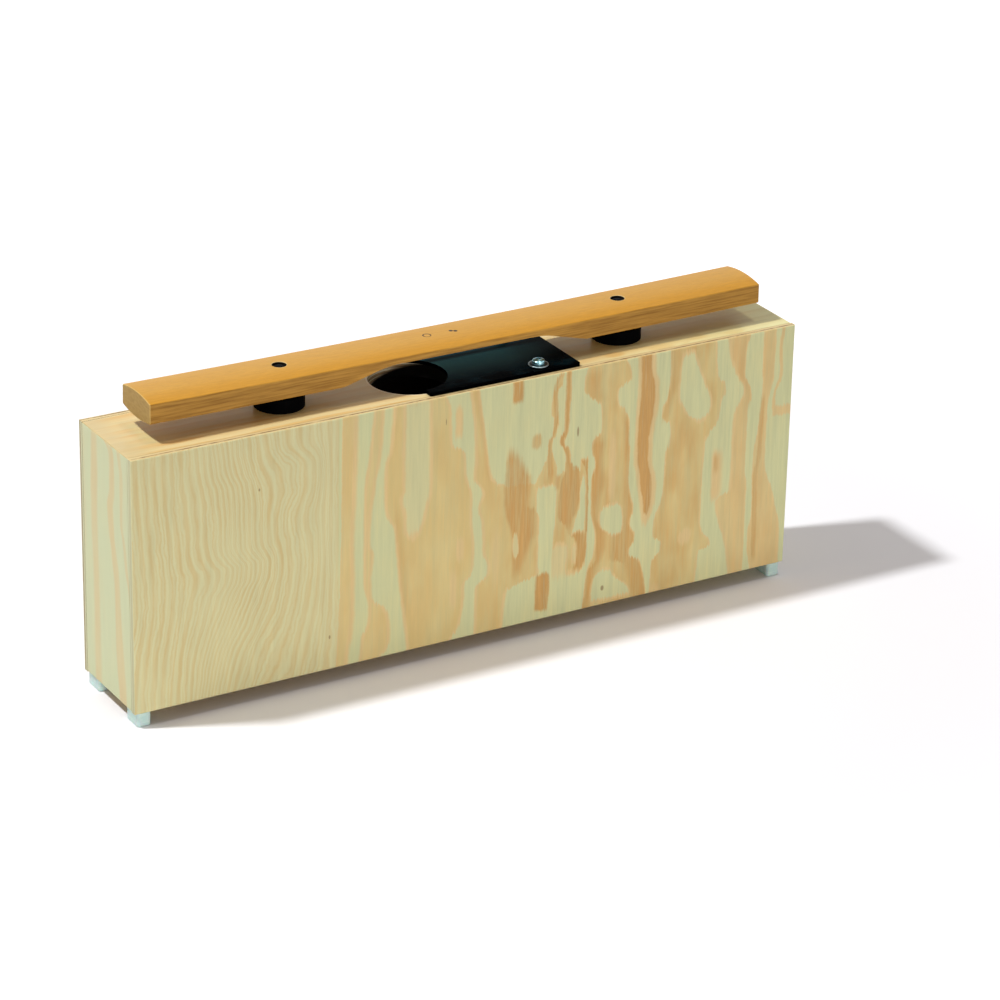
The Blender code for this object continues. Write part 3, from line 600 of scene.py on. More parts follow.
def long_board_finish(name, face_height, seed):
    """Pine with its grain along X; face_height is the outer face's height in millimetres."""
    finish = Finish(name, Coat_Weight=0.3, Coat_Roughness=0.2, Specular_IOR_Level=0.1)
    x, y, z = finish.place()
    sway = finish.noise(x / 150.0, y / 60.0, 0.0, 1.0, 0.4, seed) * 9.0
    wander = finish.noise(x / 30.0, y / 12.0, 0.0, 2.0, 0.5, seed + 2.0) * 2.0
    ring = ((y + sway + wander) / 10.5).fraction()
    line = ring.step(0.1, 0.8) * (1.0 - ring.step(0.88, 1.0))
    strength = finish.noise(x / 90.0, y / 9.0, 0.0, 1.0, 0.5, seed + 4.0).step(-0.5, 0.6)
    colour = finish.blend(linear(214, 192, 138), linear(210, 172, 108), line * (0.35 + 0.65 * strength))
    colour = finish.blend(linear(203, 182, 135), colour, (x + sway).step(-246.0, -228.0) * 0.8 + 0.2)
    patches = finish.noise(x / 16.0, y / 7.0, 0.0, 2.0, 0.5, seed + 6.0).step(0.25, 0.7)
    right_part = (x + y * 0.5).step(90.0, 130.0)
    colour = finish.blend(colour, linear(203, 160, 92), patches * (0.2 + 0.5 * right_part))
    orange = strongest(1.0 - ((((x - at) / long) ** 2.0) + (((y - middle) / wide) ** 2.0)).step(0.2, 1.2)
                       for at, middle, long, wide in TOP_PATCHES)
    colour = finish.blend(colour, linear(205, 160, 92), orange * (0.75 + 0.25 * wander))
    greyer = (x + finish.noise(x / 40.0, y / 14.0, 0.0, 1.0, 0.5, seed + 8.0) * 40.0).step(60.0, 250.0)
    colour = finish.blend(colour, linear(200, 200, 146), greyer * 0.65)
    waves = finish.noise(x / 30.0, (y + finish.noise(x / 14.0, 0.0, 0.0, 1.0, 0.5, seed + 9.0) * 2.0) / 3.2,
                         0.0, 1.0, 0.5, seed + 10.0)
    colour = finish.shade(colour, 1.0 - waves.step(0.0, 0.7) * 0.14 * x.step(180.0, 225.0))
    # Painted shade: under the bar the wood is tinted greener, the colour of the bar's shadow.
    painted_shade_tint_under_bar = (1.0 - abs(y).step(9.0, 24.0)) * x.step(-232.0, -224.0) * (1.0 - x.step(228.0, 236.0))
    colour = finish.blend(colour, linear(214, 202, 138), painted_shade_tint_under_bar * 0.55)
    streaks = fibres(finish, y, x, seed + 1.0)
    # Painted light: the board is made lighter along its near edge, more so on the right, and lighter away from the
    # left end, most on the right part.
    painted_light_near_edge = y.step(-22.0, -30.0) * (0.04 + 0.08 * x.step(80.0, 160.0))
    painted_light_along_board = x.step(-238.0, -212.0) * 0.04 + x.step(80.0, 160.0) * 0.06
    colour = finish.shade(colour, 0.98 + streaks * 0.2 + painted_light_near_edge + painted_light_along_board)
    from_hole = ((x - HOLE_X) * (x - HOLE_X) + y * y).root()
    # Painted highlight: a pale line just outside the sound hole's edge.
    rim = 1.0 - abs(from_hole - HOLE_RADIUS - 0.5).step(0.3, 0.8)
    colour = finish.blend(colour, linear(240, 226, 188), rim * 0.7)
    _, _, facing_z = finish.facing()
    outward = facing_z * (1.0 if face_height > 100.0 else -1.0)
    cut = 1.0 - outward.step(0.3, 0.6)
    depth = abs(z - face_height)
    layers = plywood_layers(finish, depth, x + y)
    # Painted shade: the cut wall shows its layers near the face and towards the left, and is near black deeper down
    # and to the right.
    lit = 1.0 - (depth + (x - HOLE_X) * 0.24).step(3.5, 6.5)
    layers = finish.blend(linear(7, 5, 4), layers, lit)
    colour = finish.blend(colour, layers, cut * depth.step(0.5, 0.7))
    # Painted shade: the board's inner face is made near black.
    colour = finish.blend(colour, PAINTED_SHADE_INSIDE, 1.0 - outward.step(-0.9, -0.6))
    finish.bump(streaks * 0.5 + line * 0.25, 0.00003)
    return finish.set(Base_Color=colour, Roughness=0.5 + streaks * 0.05 + cut * 0.2)


dress(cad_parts["top_board"], long_board_finish("top_board_pine", top_high.z / MM, 51.0))
bottom_low, bottom_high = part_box("bottom_board")
bottom_finish = long_board_finish("bottom_board_pine", bottom_low.z / MM, 61.0)
dress(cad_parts["bottom_board"], bottom_finish)
print("plywood layers of", LAYER, "mm in the sound hole, radius", HOLE_RADIUS, "mm")

# %% [markdown]
# The end boards show the same strip after the fold: a few soft tan streaks in wood that the light makes
# paler and greener. The streaks wander on the way down, so each is a band with two edges, as on the front.

# %% End boards
END_STREAKS = (
    ({0: 19, 20: 18, 60: 16.5, 100: 18, 177: 18}, {0: 27, 20: 27, 60: 25.5, 100: 26.5, 177: 27}, (2.2, 2.2), None, 0.75),
    ({0: 36, 10: 45, 30: 44.5, 45: 41, 60: 42.5, 75: 46, 110: 50, 130: 50, 177: 54},
     {0: 49, 10: 52, 30: 52, 45: 49.5, 60: 50.5, 75: 53.5, 90: 57, 110: 58, 130: 60, 177: 65}, (1.6, 1.6), None, 0.85),
    ({0: 56, 8: 58, 20: 60, 45: 59.5, 60: 62.5, 80: 66, 100: 71, 177: 73},
     {0: 61, 8: 63, 20: 64.5, 45: 63, 60: 66, 80: 70, 100: 74, 177: 75.5}, (1.0, 1.2), None, 0.7),
    ({0: 3, 60: 5, 120: 2, 177: 4}, {0: 6, 60: 8, 120: 5, 177: 8}, (2.0, 2.5), None, 0.35),
)


def end_board_finish(name, seed):
    finish = Finish(name, Coat_Weight=0.04, Coat_Roughness=0.4, Specular_IOR_Level=0.3)
    x, y, z = finish.place()
    across = abs(panel_low.y) / MM - y
    drop = panel_high.z / MM - z
    ragged = finish.noise(across / 7.0, drop / 12.0, 0.0, 2.0, 0.5, seed + 2.0) * 0.8
    streak = strongest(band(finish, across + ragged, drop, *piece[:4]) * piece[4] for piece in END_STREAKS)
    fade = finish.noise(drop / 50.0, across / 10.0, 0.0, 1.0, 0.5, seed + 4.0).step(-0.9, 0.3)
    colour = finish.blend(linear(194, 197, 155), linear(203, 180, 130), streak * (0.55 + 0.45 * fade))
    cloud = finish.noise(across / 14.0, drop / 40.0, 0.0, 2.0, 0.5, seed + 6.0)
    colour = finish.blend(colour, linear(203, 194, 146), cloud.step(-0.2, 0.7) * 0.5)
    fibre = fibres(finish, across, drop, seed + 1.0)
    # Painted light: the end board grows a little lighter towards the bottom.
    colour = finish.shade(colour, 1.0 + fibre * 0.08 + (drop - 90.0) * 0.0004)
    colour = finish.blend(colour, DARK_LINE, flecks(finish, across, drop, seed + 5.0) * 0.4)
    facing_x, _, _ = finish.facing()
    outward = facing_x * (-1.0 if name.startswith("left") else 1.0)
    # Painted shade: the end board's inner face is made near black.
    colour = finish.blend(colour, PAINTED_SHADE_INSIDE, 1.0 - outward.step(-0.9, -0.6))
    finish.bump(fibre * 0.5 + streak * 0.25, 0.00003)
    return finish.set(Base_Color=colour, Roughness=0.5 + fibre * 0.05)


for side, seed in (("left", 71.0), ("right", 81.0)):
    name = side + "_end_board"
    dress(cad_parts[name], end_board_finish(name + "_pine", seed))
    print(name, "dressed with", len(END_STREAKS), "streaks")

# %% [markdown]
# ## Tone bar
# The bar is a golden composite whose surface has a printed-looking grain: short fine streaks along its
# length. Its top is satin, and its sides are a little darker and streakier. The sawn ends are matt. Two small
# marks are stamped in its crown. They are flat, so they belong in the finish: a ring is all the places
# whose distance from its middle is nearly its radius.

# %% Tone bar: the finish
bar_low, bar_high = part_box("tone_bar")
RING_MARK = (-16.5, 1.0, 2.6)
DOT_MARKS = ((1.5, 0.9), (4.1, -0.6))
bore_places = [sum(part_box("pin_cap_" + side), Vector()) / 2 / MM for side in ("left", "right")]
BORE_RADIUS = 4.8


def tone_bar_finish():
    finish = Finish("golden_composite", Specular_IOR_Level=0.2)
    x, y, z = finish.place()
    facing_x, facing_y, facing_z = finish.facing()
    on_end = abs(facing_x).step(0.6, 0.8)
    on_side = abs(facing_y).step(0.55, 0.85)

    drift = finish.noise(x / 120.0, y / 9.0, z / 9.0, 2.0, 0.5, 91.0)
    dashes = finish.noise(x / 9.0, y / 1.5, z / 0.9, 3.0, 0.7, 93.0)
    hairs = finish.noise(x / 3.5, y / 0.3, z / 0.3, 1.0, 0.5, 95.0)
    # Painted shade: the crown is deeper orange towards the near side and paler towards the far side, as the light
    # falls across its curve.
    painted_shade_near_side = (0.0 - y).step(2.0, 19.0)
    colour = finish.blend(linear(197, 147, 62), linear(192, 135, 34), painted_shade_near_side)
    colour = finish.blend(colour, linear(186, 134, 48), drift.step(-0.3, 0.6) * 0.6)
    colour = finish.shade(colour, 1.0 + dashes * 0.2 + drift * 0.06)
    colour = finish.blend(colour, linear(142, 90, 24), hairs.step(0.2, 0.65) * 0.45)
    side_streaks = finish.noise(x / 40.0, y / 4.0, z / 1.6, 3.0, 0.6, 97.0)
    side = finish.blend(linear(178, 132, 55), linear(140, 98, 33), side_streaks.step(-0.3, 0.4))
    # Painted light: the sides are made lighter over the middle of the bar than near its ends.
    side = finish.shade(side, 1.12 + dashes * 0.2 - abs(x).step(60.0, 120.0) * 0.14)
    colour = finish.blend(colour, side, on_side)
    end = finish.blend(linear(166, 136, 78), linear(150, 120, 66), side_streaks.step(-0.4, 0.6))
    colour = finish.blend(colour, end, on_end)
    # Painted highlight: a pale band where the ends round over into the sides and crown.
    painted_highlight_round_edge = abs(facing_x).step(0.12, 0.5) * (1.0 - abs(facing_x).step(0.75, 0.95))
    colour = finish.blend(colour, linear(212, 180, 110), painted_highlight_round_edge * 0.6)

    marks = stamped_marks(finish, x, y) * facing_z.step(0.5, 0.8)
    colour = finish.blend(colour, linear(34, 22, 12), marks)
    colour = bored_holes(finish, colour, x, y)
    finish.bump(0.5 + dashes * 0.3 - marks * 0.5, 0.00004)
    return finish.set(Base_Color=colour, Roughness=0.46 + dashes * 0.05 + on_end * 0.2)


# %% Tone bar: the stamped marks
def stamped_marks(finish, x, y):
    """A thin ring, open towards the player, and two dots, from 0 to 1."""
    middle_x, middle_y, radius = RING_MARK
    dx = x - middle_x
    dy = y - middle_y
    ring = 1.0 - abs((dx * dx + dy * dy).root() - radius).step(0.3, 0.6)
    marks = ring * (1.0 - 0.5 * (0.0 - dy).step(0.8, 2.2))
    for dot_x, dot_y in DOT_MARKS:
        dx = x - dot_x
        dy = y - dot_y
        marks = marks.largest(1.0 - (dx * dx + dy * dy).root().step(1.2, 1.6))
    return marks


# %% Tone bar: the bored holes
def bored_holes(finish, colour, x, y):
    """Painted shade on the walls inside the two bores, and a pale ring round them, the painted highlight of the
    drill's chamfer.
    """
    within = None
    for bore in bore_places:
        dx = x - bore.x
        dy = y - bore.y
        distance = (dx * dx + dy * dy).root()
        within = distance if within is None else within.smallest(distance)
    painted_highlight_chamfer = 1.0 - within.step(BORE_RADIUS + 0.35, BORE_RADIUS + 0.5)
    painted_shade_wall = 1.0 - within.step(BORE_RADIUS + 0.02, BORE_RADIUS + 0.1)
    colour = finish.blend(colour, linear(214, 184, 122), painted_highlight_chamfer)
    return finish.blend(colour, linear(26, 18, 10), painted_shade_wall)


dress(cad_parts["tone_bar"], tone_bar_finish())
print("tone bar", [round(v / MM, 1) for v in bar_high - bar_low], "mm")

# %% [markdown]
# ## Rubber, plastic and steel
# The buffers and the caps are black rubber, which is matt but not evenly so: handling polishes it a little.
# The tuning slide is smoother, and its soft blue-green sheen is a painted reflection in its colour. A low
# specular level keeps both dark under a white sky.

# %% Rubber
def rubber_finish(name, colour, roughness, seed):
    finish = Finish(name, Specular_IOR_Level=0.012)
    x, y, z = finish.place()
    grain = finish.noise(x / 0.4, y / 0.4, z / 0.4, 2.0, 0.6, seed)
    cloud = finish.noise(x / 6.0, y / 6.0, z / 6.0, 2.0, 0.5, seed + 1.0)
    dust = grain.step(0.35, 0.8) * 0.25 + cloud.step(0.0, 0.8) * 0.15
    dark = finish.blend(colour, linear(26, 28, 30), dust * 0.5)
    finish.bump(grain * 0.5 + 0.5, 0.00003)
    return finish.set(Base_Color=dark, Roughness=roughness + grain * 0.06)


buffer_rubber = rubber_finish("buffer_rubber", linear(3, 3, 4), 0.62, 101.0)
cap_rubber = rubber_finish("cap_rubber", linear(16, 18, 20), 0.42, 105.0)
for side in ("left", "right"):
    dress(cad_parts["buffer_" + side], buffer_rubber)
    dress(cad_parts["pin_cap_" + side], cap_rubber)

# %% Slide plastic
slide_low, slide_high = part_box("tuning_slide")


def slide_finish():
    finish = Finish("slide_plastic", Specular_IOR_Level=0.004)
    x, y, z = finish.place()
    _, _, facing_z = finish.facing()
    scratch = finish.noise(x / 14.0, y / 0.35, 0.0, 2.0, 0.6, 111.0)
    cloud = finish.noise(x / 30.0, y / 16.0, 0.0, 2.0, 0.5, 113.0)
    # Painted reflection: a blue-green sheen on the top face, strongest towards the back and left, falling off at the
    # back edge.
    painted_sheen = y.step(-26.0, 8.0) * (1.0 - x.step(36.0, 80.0) * 0.9) + cloud * 0.1
    painted_sheen = painted_sheen * (1.0 - y.step(9.0, 14.0) * 0.85)
    colour = finish.blend(linear(1, 2, 3), linear(60, 120, 132), painted_sheen * facing_z.step(0.5, 0.9))
    colour = finish.blend(colour, linear(40, 50, 54), scratch.step(0.5, 0.9) * 0.06)
    finish.bump(scratch * 0.5 + 0.5, 0.00001)
    return finish.set(Base_Color=colour, Roughness=0.22 + cloud * 0.05)


slide_plastic = slide_finish()
dress(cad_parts["tuning_slide"], slide_plastic)

# %% Metals
def metal_finish(name, colour, shadow, roughness, seed, painted_highlight_from=None):
    """Metal in a painted highlight tone and a painted shade tone, mixed in grains; where a radius is given, the shade
    tone fills it round each screw as a painted reflection, and the highlight tone lies outside it as a painted rim
    highlight.
    """
    finish = Finish(name, Metallic=1.0)
    x, y, z = finish.place()
    grain = finish.noise(x / 0.9, y / 0.9, z / 0.9, 3.0, 0.6, seed)
    fine = finish.noise(x / 0.15, y / 0.15, z / 0.15, 2.0, 0.5, seed + 1.0)
    painted_highlight = grain.step(-0.5, 0.3)
    if painted_highlight_from:
        dx = x - SCREW_X
        dy = abs(y) - SCREW_Y
        painted_highlight = (painted_highlight * 0.35 + 0.65) * (dx * dx + dy * dy).root().step(painted_highlight_from - 0.5, painted_highlight_from)
    tone = finish.blend(shadow, colour, painted_highlight)
    finish.bump(fine * 0.5 + 0.5, 0.000004)
    return finish.set(Base_Color=tone, Roughness=roughness + grain * 0.06)


screw_place = sum(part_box("tuning_screw_front"), Vector()) / 2 / MM
SCREW_X = screw_place.x
SCREW_Y = abs(screw_place.y)
WASHER_RIM = 6.3
# Painted light: each metal gets a highlight tone and a shade tone, mixed in grains.
screw_zinc = metal_finish("screw_zinc", linear(176, 222, 230), linear(66, 112, 122), 0.24, 121.0)
washer_zinc = metal_finish("washer_zinc", linear(168, 182, 184), linear(44, 56, 60), 0.3, 125.0, WASHER_RIM)
pin_steel = metal_finish("pin_steel", linear(205, 205, 208), linear(160, 160, 165), 0.25, 127.0)
for side in ("left", "right"):
    dress(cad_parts["pin_" + side], pin_steel)

# %% [markdown]
# ## Modelling in code
# The next pieces are modelled as by hand: a primitive is added at its size and place, edit mode shapes it, and
# modifiers finish it. An operator works on what is selected, so two helpers select faces or edges by where
# they are. A third ends the work: it rounds the look of the surface, gives it its finish and ties it to the
# body that it moves with.

# %% Helpers for modelling
def edit_new(name):
    """Name the primitive that was just added, fix its place into its mesh and open it for editing."""
    piece = bpy.context.active_object
    piece.name = name
    piece.data.name = name
    bpy.ops.object.transform_apply(location=True, rotation=True, scale=True)
    bpy.ops.object.mode_set(mode="EDIT")
    return piece


def select_faces(piece, wanted):
    """Select the faces whose middle and direction pass a test."""
    bpy.ops.mesh.select_mode(type="FACE")
    mesh = bmesh.from_edit_mesh(piece.data)
    for face in mesh.faces:
        face.select_set(wanted(face.calc_center_median(), face.normal))
    mesh.select_flush_mode()
    bmesh.update_edit_mesh(piece.data)


def select_edges(piece, wanted):
    """Select the edges whose two ends pass a test."""
    bpy.ops.mesh.select_mode(type="EDGE")
    mesh = bmesh.from_edit_mesh(piece.data)
    for edge in mesh.edges:
        edge.select_set(wanted(edge.verts[0].co, edge.verts[1].co))
    mesh.select_flush_mode()
    bmesh.update_edit_mesh(piece.data)


def add_modifier(piece, kind, **settings):
    """Add a modifier and apply it."""
    bpy.context.view_layer.objects.active = piece
    modifier = piece.modifiers.new(kind.title(), kind)
    for name, value in settings.items():
        setattr(modifier, name, value)
    bpy.ops.object.modifier_apply(modifier=modifier.name)


def copy_of(piece, name, moved=(0, 0, 0), turned=0):
    """Copy a modelled piece, with a mesh of its own, to where its twin belongs; turned is about Y."""
    bpy.ops.object.select_all(action="DESELECT")
    piece.select_set(True)
    bpy.context.view_layer.objects.active = piece
    bpy.ops.object.duplicate(linked=False)
    twin = bpy.context.active_object
    twin.name = name
    twin.data.name = name
    twin.location = moved
    twin.rotation_euler = (0, turned, 0)
    bpy.ops.object.transform_apply(location=True, rotation=True)
    return twin


def finish_piece(piece, material, body, node=None, angle=32):
    bpy.ops.object.mode_set(mode="OBJECT")
    bpy.ops.object.select_all(action="DESELECT")
    piece.select_set(True)
    bpy.context.view_layer.objects.active = piece
    bpy.ops.object.shade_smooth_by_angle(angle=radians(angle))
    dress(piece, material)
    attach(piece, body)
    if node:
        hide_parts(node)
    print(piece.name, len(piece.data.polygons), "faces")


# %% [markdown]
# ## Tuning screws
# The tuning slide is held by two pan-head screws. A screw starts as a cylinder of the head's size. Its top
# rim is bevelled round and its crown raised a little by insets, and its underside is inset and extruded
# down into the shank. The cross recess is cut by two blades that narrow downwards, as a driver's tip does.

# %% Screw: head and shank
screw_low, screw_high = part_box("tuning_screw_front")
SHANK = 1.7 * MM
HEAD = (screw_high.x - screw_low.x) / 2
HEAD_HEIGHT = 3.6 * MM
CROWN_STEPS = ((1.0 * MM, 0.5 * MM), (0.9 * MM, 0.28 * MM), (0.7 * MM, 0.12 * MM))
CROWN = sum(rise for _, rise in CROWN_STEPS)
RECESS_SPAN = 4.8 * MM
RECESS_WIDTH = 1.15 * MM
RECESS_DEPTH = 2.2 * MM
NARROW = 0.45
THREAD_PITCH = 1.8 * MM


def screw_body(name, x, y, top):
    underside = top - HEAD_HEIGHT
    bpy.ops.object.select_all(action="DESELECT")
    straight = HEAD_HEIGHT - CROWN
    bpy.ops.mesh.primitive_cylinder_add(vertices=64, radius=HEAD, depth=straight,
                                        location=(x, y, underside + straight / 2))
    screw = edit_new(name)
    rim = underside + straight * 0.9
    select_edges(screw, lambda a, b: a.z > rim and b.z > rim)
    bpy.ops.mesh.bevel(offset=1.1 * MM, segments=7, affect="EDGES")
    select_faces(screw, lambda middle, facing: facing.z > 0.999)
    for across, rise in CROWN_STEPS:
        bpy.ops.mesh.inset(thickness=across, depth=rise)
    select_faces(screw, lambda middle, facing: facing.z < -0.999)
    bpy.ops.mesh.inset(thickness=HEAD - SHANK)
    bpy.ops.mesh.extrude_region_move(TRANSFORM_OT_translate={"value": (0, 0, screw_low.z - underside + 3 * MM)})
    bpy.ops.mesh.extrude_region_move(TRANSFORM_OT_translate={"value": (0, 0, -3 * MM)})
    bpy.ops.transform.resize(value=(0.05, 0.05, 1), center_override=(x, y, screw_low.z))
    bpy.ops.object.mode_set(mode="OBJECT")
    return screw


# %% Screw: recess
def cut_recess(screw, x, y, top):
    for width, depth in ((RECESS_SPAN, RECESS_WIDTH), (RECESS_WIDTH, RECESS_SPAN)):
        bpy.ops.object.select_all(action="DESELECT")
        bpy.ops.mesh.primitive_cube_add(size=1, location=(x, y, top), scale=(width, depth, 2 * RECESS_DEPTH))
        blade = edit_new("recess_blade")
        select_faces(blade, lambda middle, facing: facing.z < -0.9)
        bpy.ops.transform.resize(value=(NARROW, NARROW, 1), center_override=(x, y, top))
        bpy.ops.object.mode_set(mode="OBJECT")
        add_modifier(screw, "BOOLEAN", operation="DIFFERENCE", solver="EXACT", object=blade)
        bpy.data.objects.remove(blade, do_unlink=True)


# %% [markdown]
# The thread is one small triangle, swept round and down by the Screw modifier. It runs from under the slide
# to the point, inside the top board, and shows only when the board is hidden.

# %% Screw: thread
def thread_ridge(x, y, start):
    bpy.ops.object.select_all(action="DESELECT")
    bpy.ops.mesh.primitive_circle_add(vertices=3, radius=0.42 * MM, fill_type="NOTHING",
                                      location=(SHANK, 0, 0), rotation=(radians(90), 0, radians(0)))
    ridge = edit_new("thread_ridge")
    bpy.ops.object.mode_set(mode="OBJECT")
    add_modifier(ridge, "SCREW", angle=radians(360), screw_offset=-THREAD_PITCH, iterations=3, steps=20,
                 render_steps=20)
    bpy.ops.object.mode_set(mode="EDIT")
    bpy.ops.mesh.select_all(action="SELECT")
    bpy.ops.mesh.fill_holes(sides=3)
    bpy.ops.mesh.normals_make_consistent(inside=False)
    bpy.ops.object.mode_set(mode="OBJECT")
    ridge.location = (x, y, start)
    bpy.ops.object.transform_apply(location=True)
    return ridge


def join(piece, other):
    bpy.ops.object.select_all(action="DESELECT")
    other.select_set(True)
    piece.select_set(True)
    bpy.context.view_layer.objects.active = piece
    bpy.ops.object.join()


middle = (screw_low + screw_high) / 2
screw = screw_body("pan_head_screw_front", middle.x, middle.y, screw_high.z)
cut_recess(screw, middle.x, middle.y, screw_high.z)
join(screw, thread_ridge(middle.x, middle.y, screw_high.z - HEAD_HEIGHT - 4.6 * MM))
to_back = (0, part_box("tuning_screw_back")[0].y - screw_low.y, 0)
back_screw = copy_of(screw, "pan_head_screw_back", to_back)
finish_piece(screw, screw_zinc, "front_screw", "tuning_screw_front")
finish_piece(back_screw, screw_zinc, "back_screw", "tuning_screw_back")

# %% [markdown]
# ## Washers
# A punched washer has one rounded edge, where the punch pulled the metal in, and that edge catches the light; its
# finish adds a painted highlight on the rim and a painted reflection on its face.
# A circle is the outer edge. Extruding it and scaling the new edge inwards makes a flat ring, Solidify gives
# it its thickness, and Bevel rounds its edges.

# %% Washers
WASHER_EDGE = 0.3 * MM


def washer(name, x, y, low, high):
    outer = (high.x - low.x) / 2
    inner = SHANK + 0.3 * MM
    thickness = high.z - low.z
    bpy.ops.object.select_all(action="DESELECT")
    bpy.ops.mesh.primitive_circle_add(vertices=72, radius=outer, fill_type="NOTHING", location=(x, y, high.z))
    ring = edit_new(name)
    bpy.ops.mesh.select_all(action="SELECT")
    bpy.ops.mesh.extrude_edges_move(TRANSFORM_OT_translate={"value": (0, 0, 0)})
    bpy.ops.transform.resize(value=(inner / outer, inner / outer, 1), center_override=(x, y, high.z))
    bpy.ops.mesh.select_all(action="SELECT")
    bpy.ops.mesh.normals_make_consistent(inside=False)
    bpy.ops.object.mode_set(mode="OBJECT")
    up = ring.data.polygons[0].normal.z
    add_modifier(ring, "SOLIDIFY", thickness=thickness, offset=-1.0 if up > 0 else 1.0)
    add_modifier(ring, "BEVEL", width=WASHER_EDGE, segments=4, limit_method="ANGLE")
    return ring


low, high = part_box("washer_front")
ring = washer("punched_washer_front", middle.x, middle.y, low, high)
back_ring = copy_of(ring, "punched_washer_back", to_back)
finish_piece(ring, washer_zinc, "resonator", "washer_front")
finish_piece(back_ring, washer_zinc, "resonator", "washer_back")

# %% [markdown]
# ## Feet
# Four moulded blocks of clear, pale blue rubber keep the box off the table. A cube of the foot's size gets
# its upright edges rounded first and its lower edges after, so the second bevel runs round the corners
# that the first one made.

# %% Feet
UPRIGHT_ROUND = 2.4 * MM
LOWER_ROUND = 1.0 * MM


def foot_finish():
    finish = Finish("foot_rubber", Subsurface_Weight=0.3, Subsurface_Scale=0.004, Specular_IOR_Level=0.4)
    x, y, z = finish.place()
    cloud = finish.noise(x / 5.0, y / 5.0, z / 3.0, 2.0, 0.5, 131.0)
    colour = finish.blend(linear(198, 219, 210), linear(180, 208, 202), cloud.step(-0.5, 0.6))
    seam = (1.0 - abs(z - 3.0).step(0.1, 0.45)).largest(1.0 - abs(z - 1.8).step(0.1, 0.4))
    colour = finish.blend(colour, linear(212, 232, 228), seam * 0.45)
    finish.bump(cloud * 0.5 + 0.5, 0.00003)
    return finish.set(Base_Color=colour, Roughness=0.34 + cloud * 0.05)


def foot(name, low, high):
    bpy.ops.object.select_all(action="DESELECT")
    bpy.ops.mesh.primitive_cube_add(size=1, location=(low + high) / 2, scale=high - low)
    block = edit_new(name)
    half = (high.z - low.z) / 2
    select_edges(block, lambda a, b: abs(a.z - b.z) > half)
    bpy.ops.mesh.bevel(offset=UPRIGHT_ROUND, segments=8, affect="EDGES")
    select_edges(block, lambda a, b: a.z < half and b.z < half)
    bpy.ops.mesh.bevel(offset=LOWER_ROUND, segments=5, affect="EDGES")
    bpy.ops.object.mode_set(mode="OBJECT")
    return block


foot_rubber = foot_finish()
first_low, first_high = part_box("foot_front_left")
first_foot = foot("moulded_foot_front_left", first_low, first_high)
blocks = {"foot_front_left": first_foot}
for node in ("foot_front_right", "foot_back_left", "foot_back_right"):
    blocks[node] = copy_of(first_foot, "moulded_" + node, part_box(node)[0] - first_low)
for node, block in blocks.items():
    finish_piece(block, foot_rubber, "resonator", node)

# %% [markdown]
# ## Glue lines
# The boards of the box are glued, and the solid model leaves the glue's thickness free. A ring of glue behind
# each panel and a strip in each mitre fill that space, a little behind the surface, so the joints look
# closed. Each ring is a plane, inset by the frame's thickness, with its middle deleted and the rest extruded.

# %% Glue
GLUE_BACK = 0.12 * MM
FRAME_BOARD = 10 * MM
STRIP_BACK = 0.6 * MM
STRIP_THICKNESS = 0.24 * MM


def glue_finish():
    finish = Finish("wood_glue", Specular_IOR_Level=0.2)
    x, y, z = finish.place()
    uneven = finish.noise(x / 4.0, y / 4.0, z / 4.0, 2.0, 0.6, 141.0)
    colour = finish.blend(linear(176, 150, 104), linear(200, 178, 130), uneven.step(-0.5, 0.5))
    finish.bump(uneven * 0.5 + 0.5, 0.00002)
    return finish.set(Base_Color=colour, Roughness=0.6 + uneven * 0.08)


def glue_ring(name, start, thickness):
    """Ring behind a panel, from Y = start, as wide as the frame's boards."""
    size = panel_high - panel_low
    bpy.ops.object.select_all(action="DESELECT")
    bpy.ops.mesh.primitive_plane_add(size=1, rotation=(radians(90), 0, 0), location=(0, start, box_centre.z))
    ring = edit_new(name)
    bpy.ops.mesh.select_all(action="SELECT")
    bpy.ops.transform.resize(value=(size.x - 2 * GLUE_BACK, 1, size.z - 2 * GLUE_BACK),
                             center_override=(0, start, box_centre.z))
    bpy.ops.mesh.inset(thickness=FRAME_BOARD - GLUE_BACK)
    bpy.ops.mesh.delete(type="FACE")
    bpy.ops.mesh.select_all(action="SELECT")
    bpy.ops.mesh.extrude_region_move(TRANSFORM_OT_translate={"value": (0, thickness, 0)})
    bpy.ops.mesh.select_all(action="SELECT")
    bpy.ops.mesh.normals_make_consistent(inside=False)
    return ring


def glue_strip(name):
    """Flat strip as deep as the frame and as long as a mitre, to be stood on a corner's diagonal."""
    bpy.ops.object.select_all(action="DESELECT")
    bpy.ops.mesh.primitive_plane_add(size=1, location=(0, 0, -STRIP_THICKNESS / 2))
    strip = edit_new(name)
    bpy.ops.mesh.select_all(action="SELECT")
    mitre = FRAME_BOARD * sqrt(2) - 2 * STRIP_BACK
    bpy.ops.transform.resize(value=(mitre, -2 * (frame_front + GLUE_BACK), 1), center_override=(0, 0, 0))
    bpy.ops.mesh.extrude_region_move(TRANSFORM_OT_translate={"value": (0, 0, STRIP_THICKNESS)})
    bpy.ops.mesh.select_all(action="SELECT")
    bpy.ops.mesh.normals_make_consistent(inside=False)
    bpy.ops.object.mode_set(mode="OBJECT")
    return strip


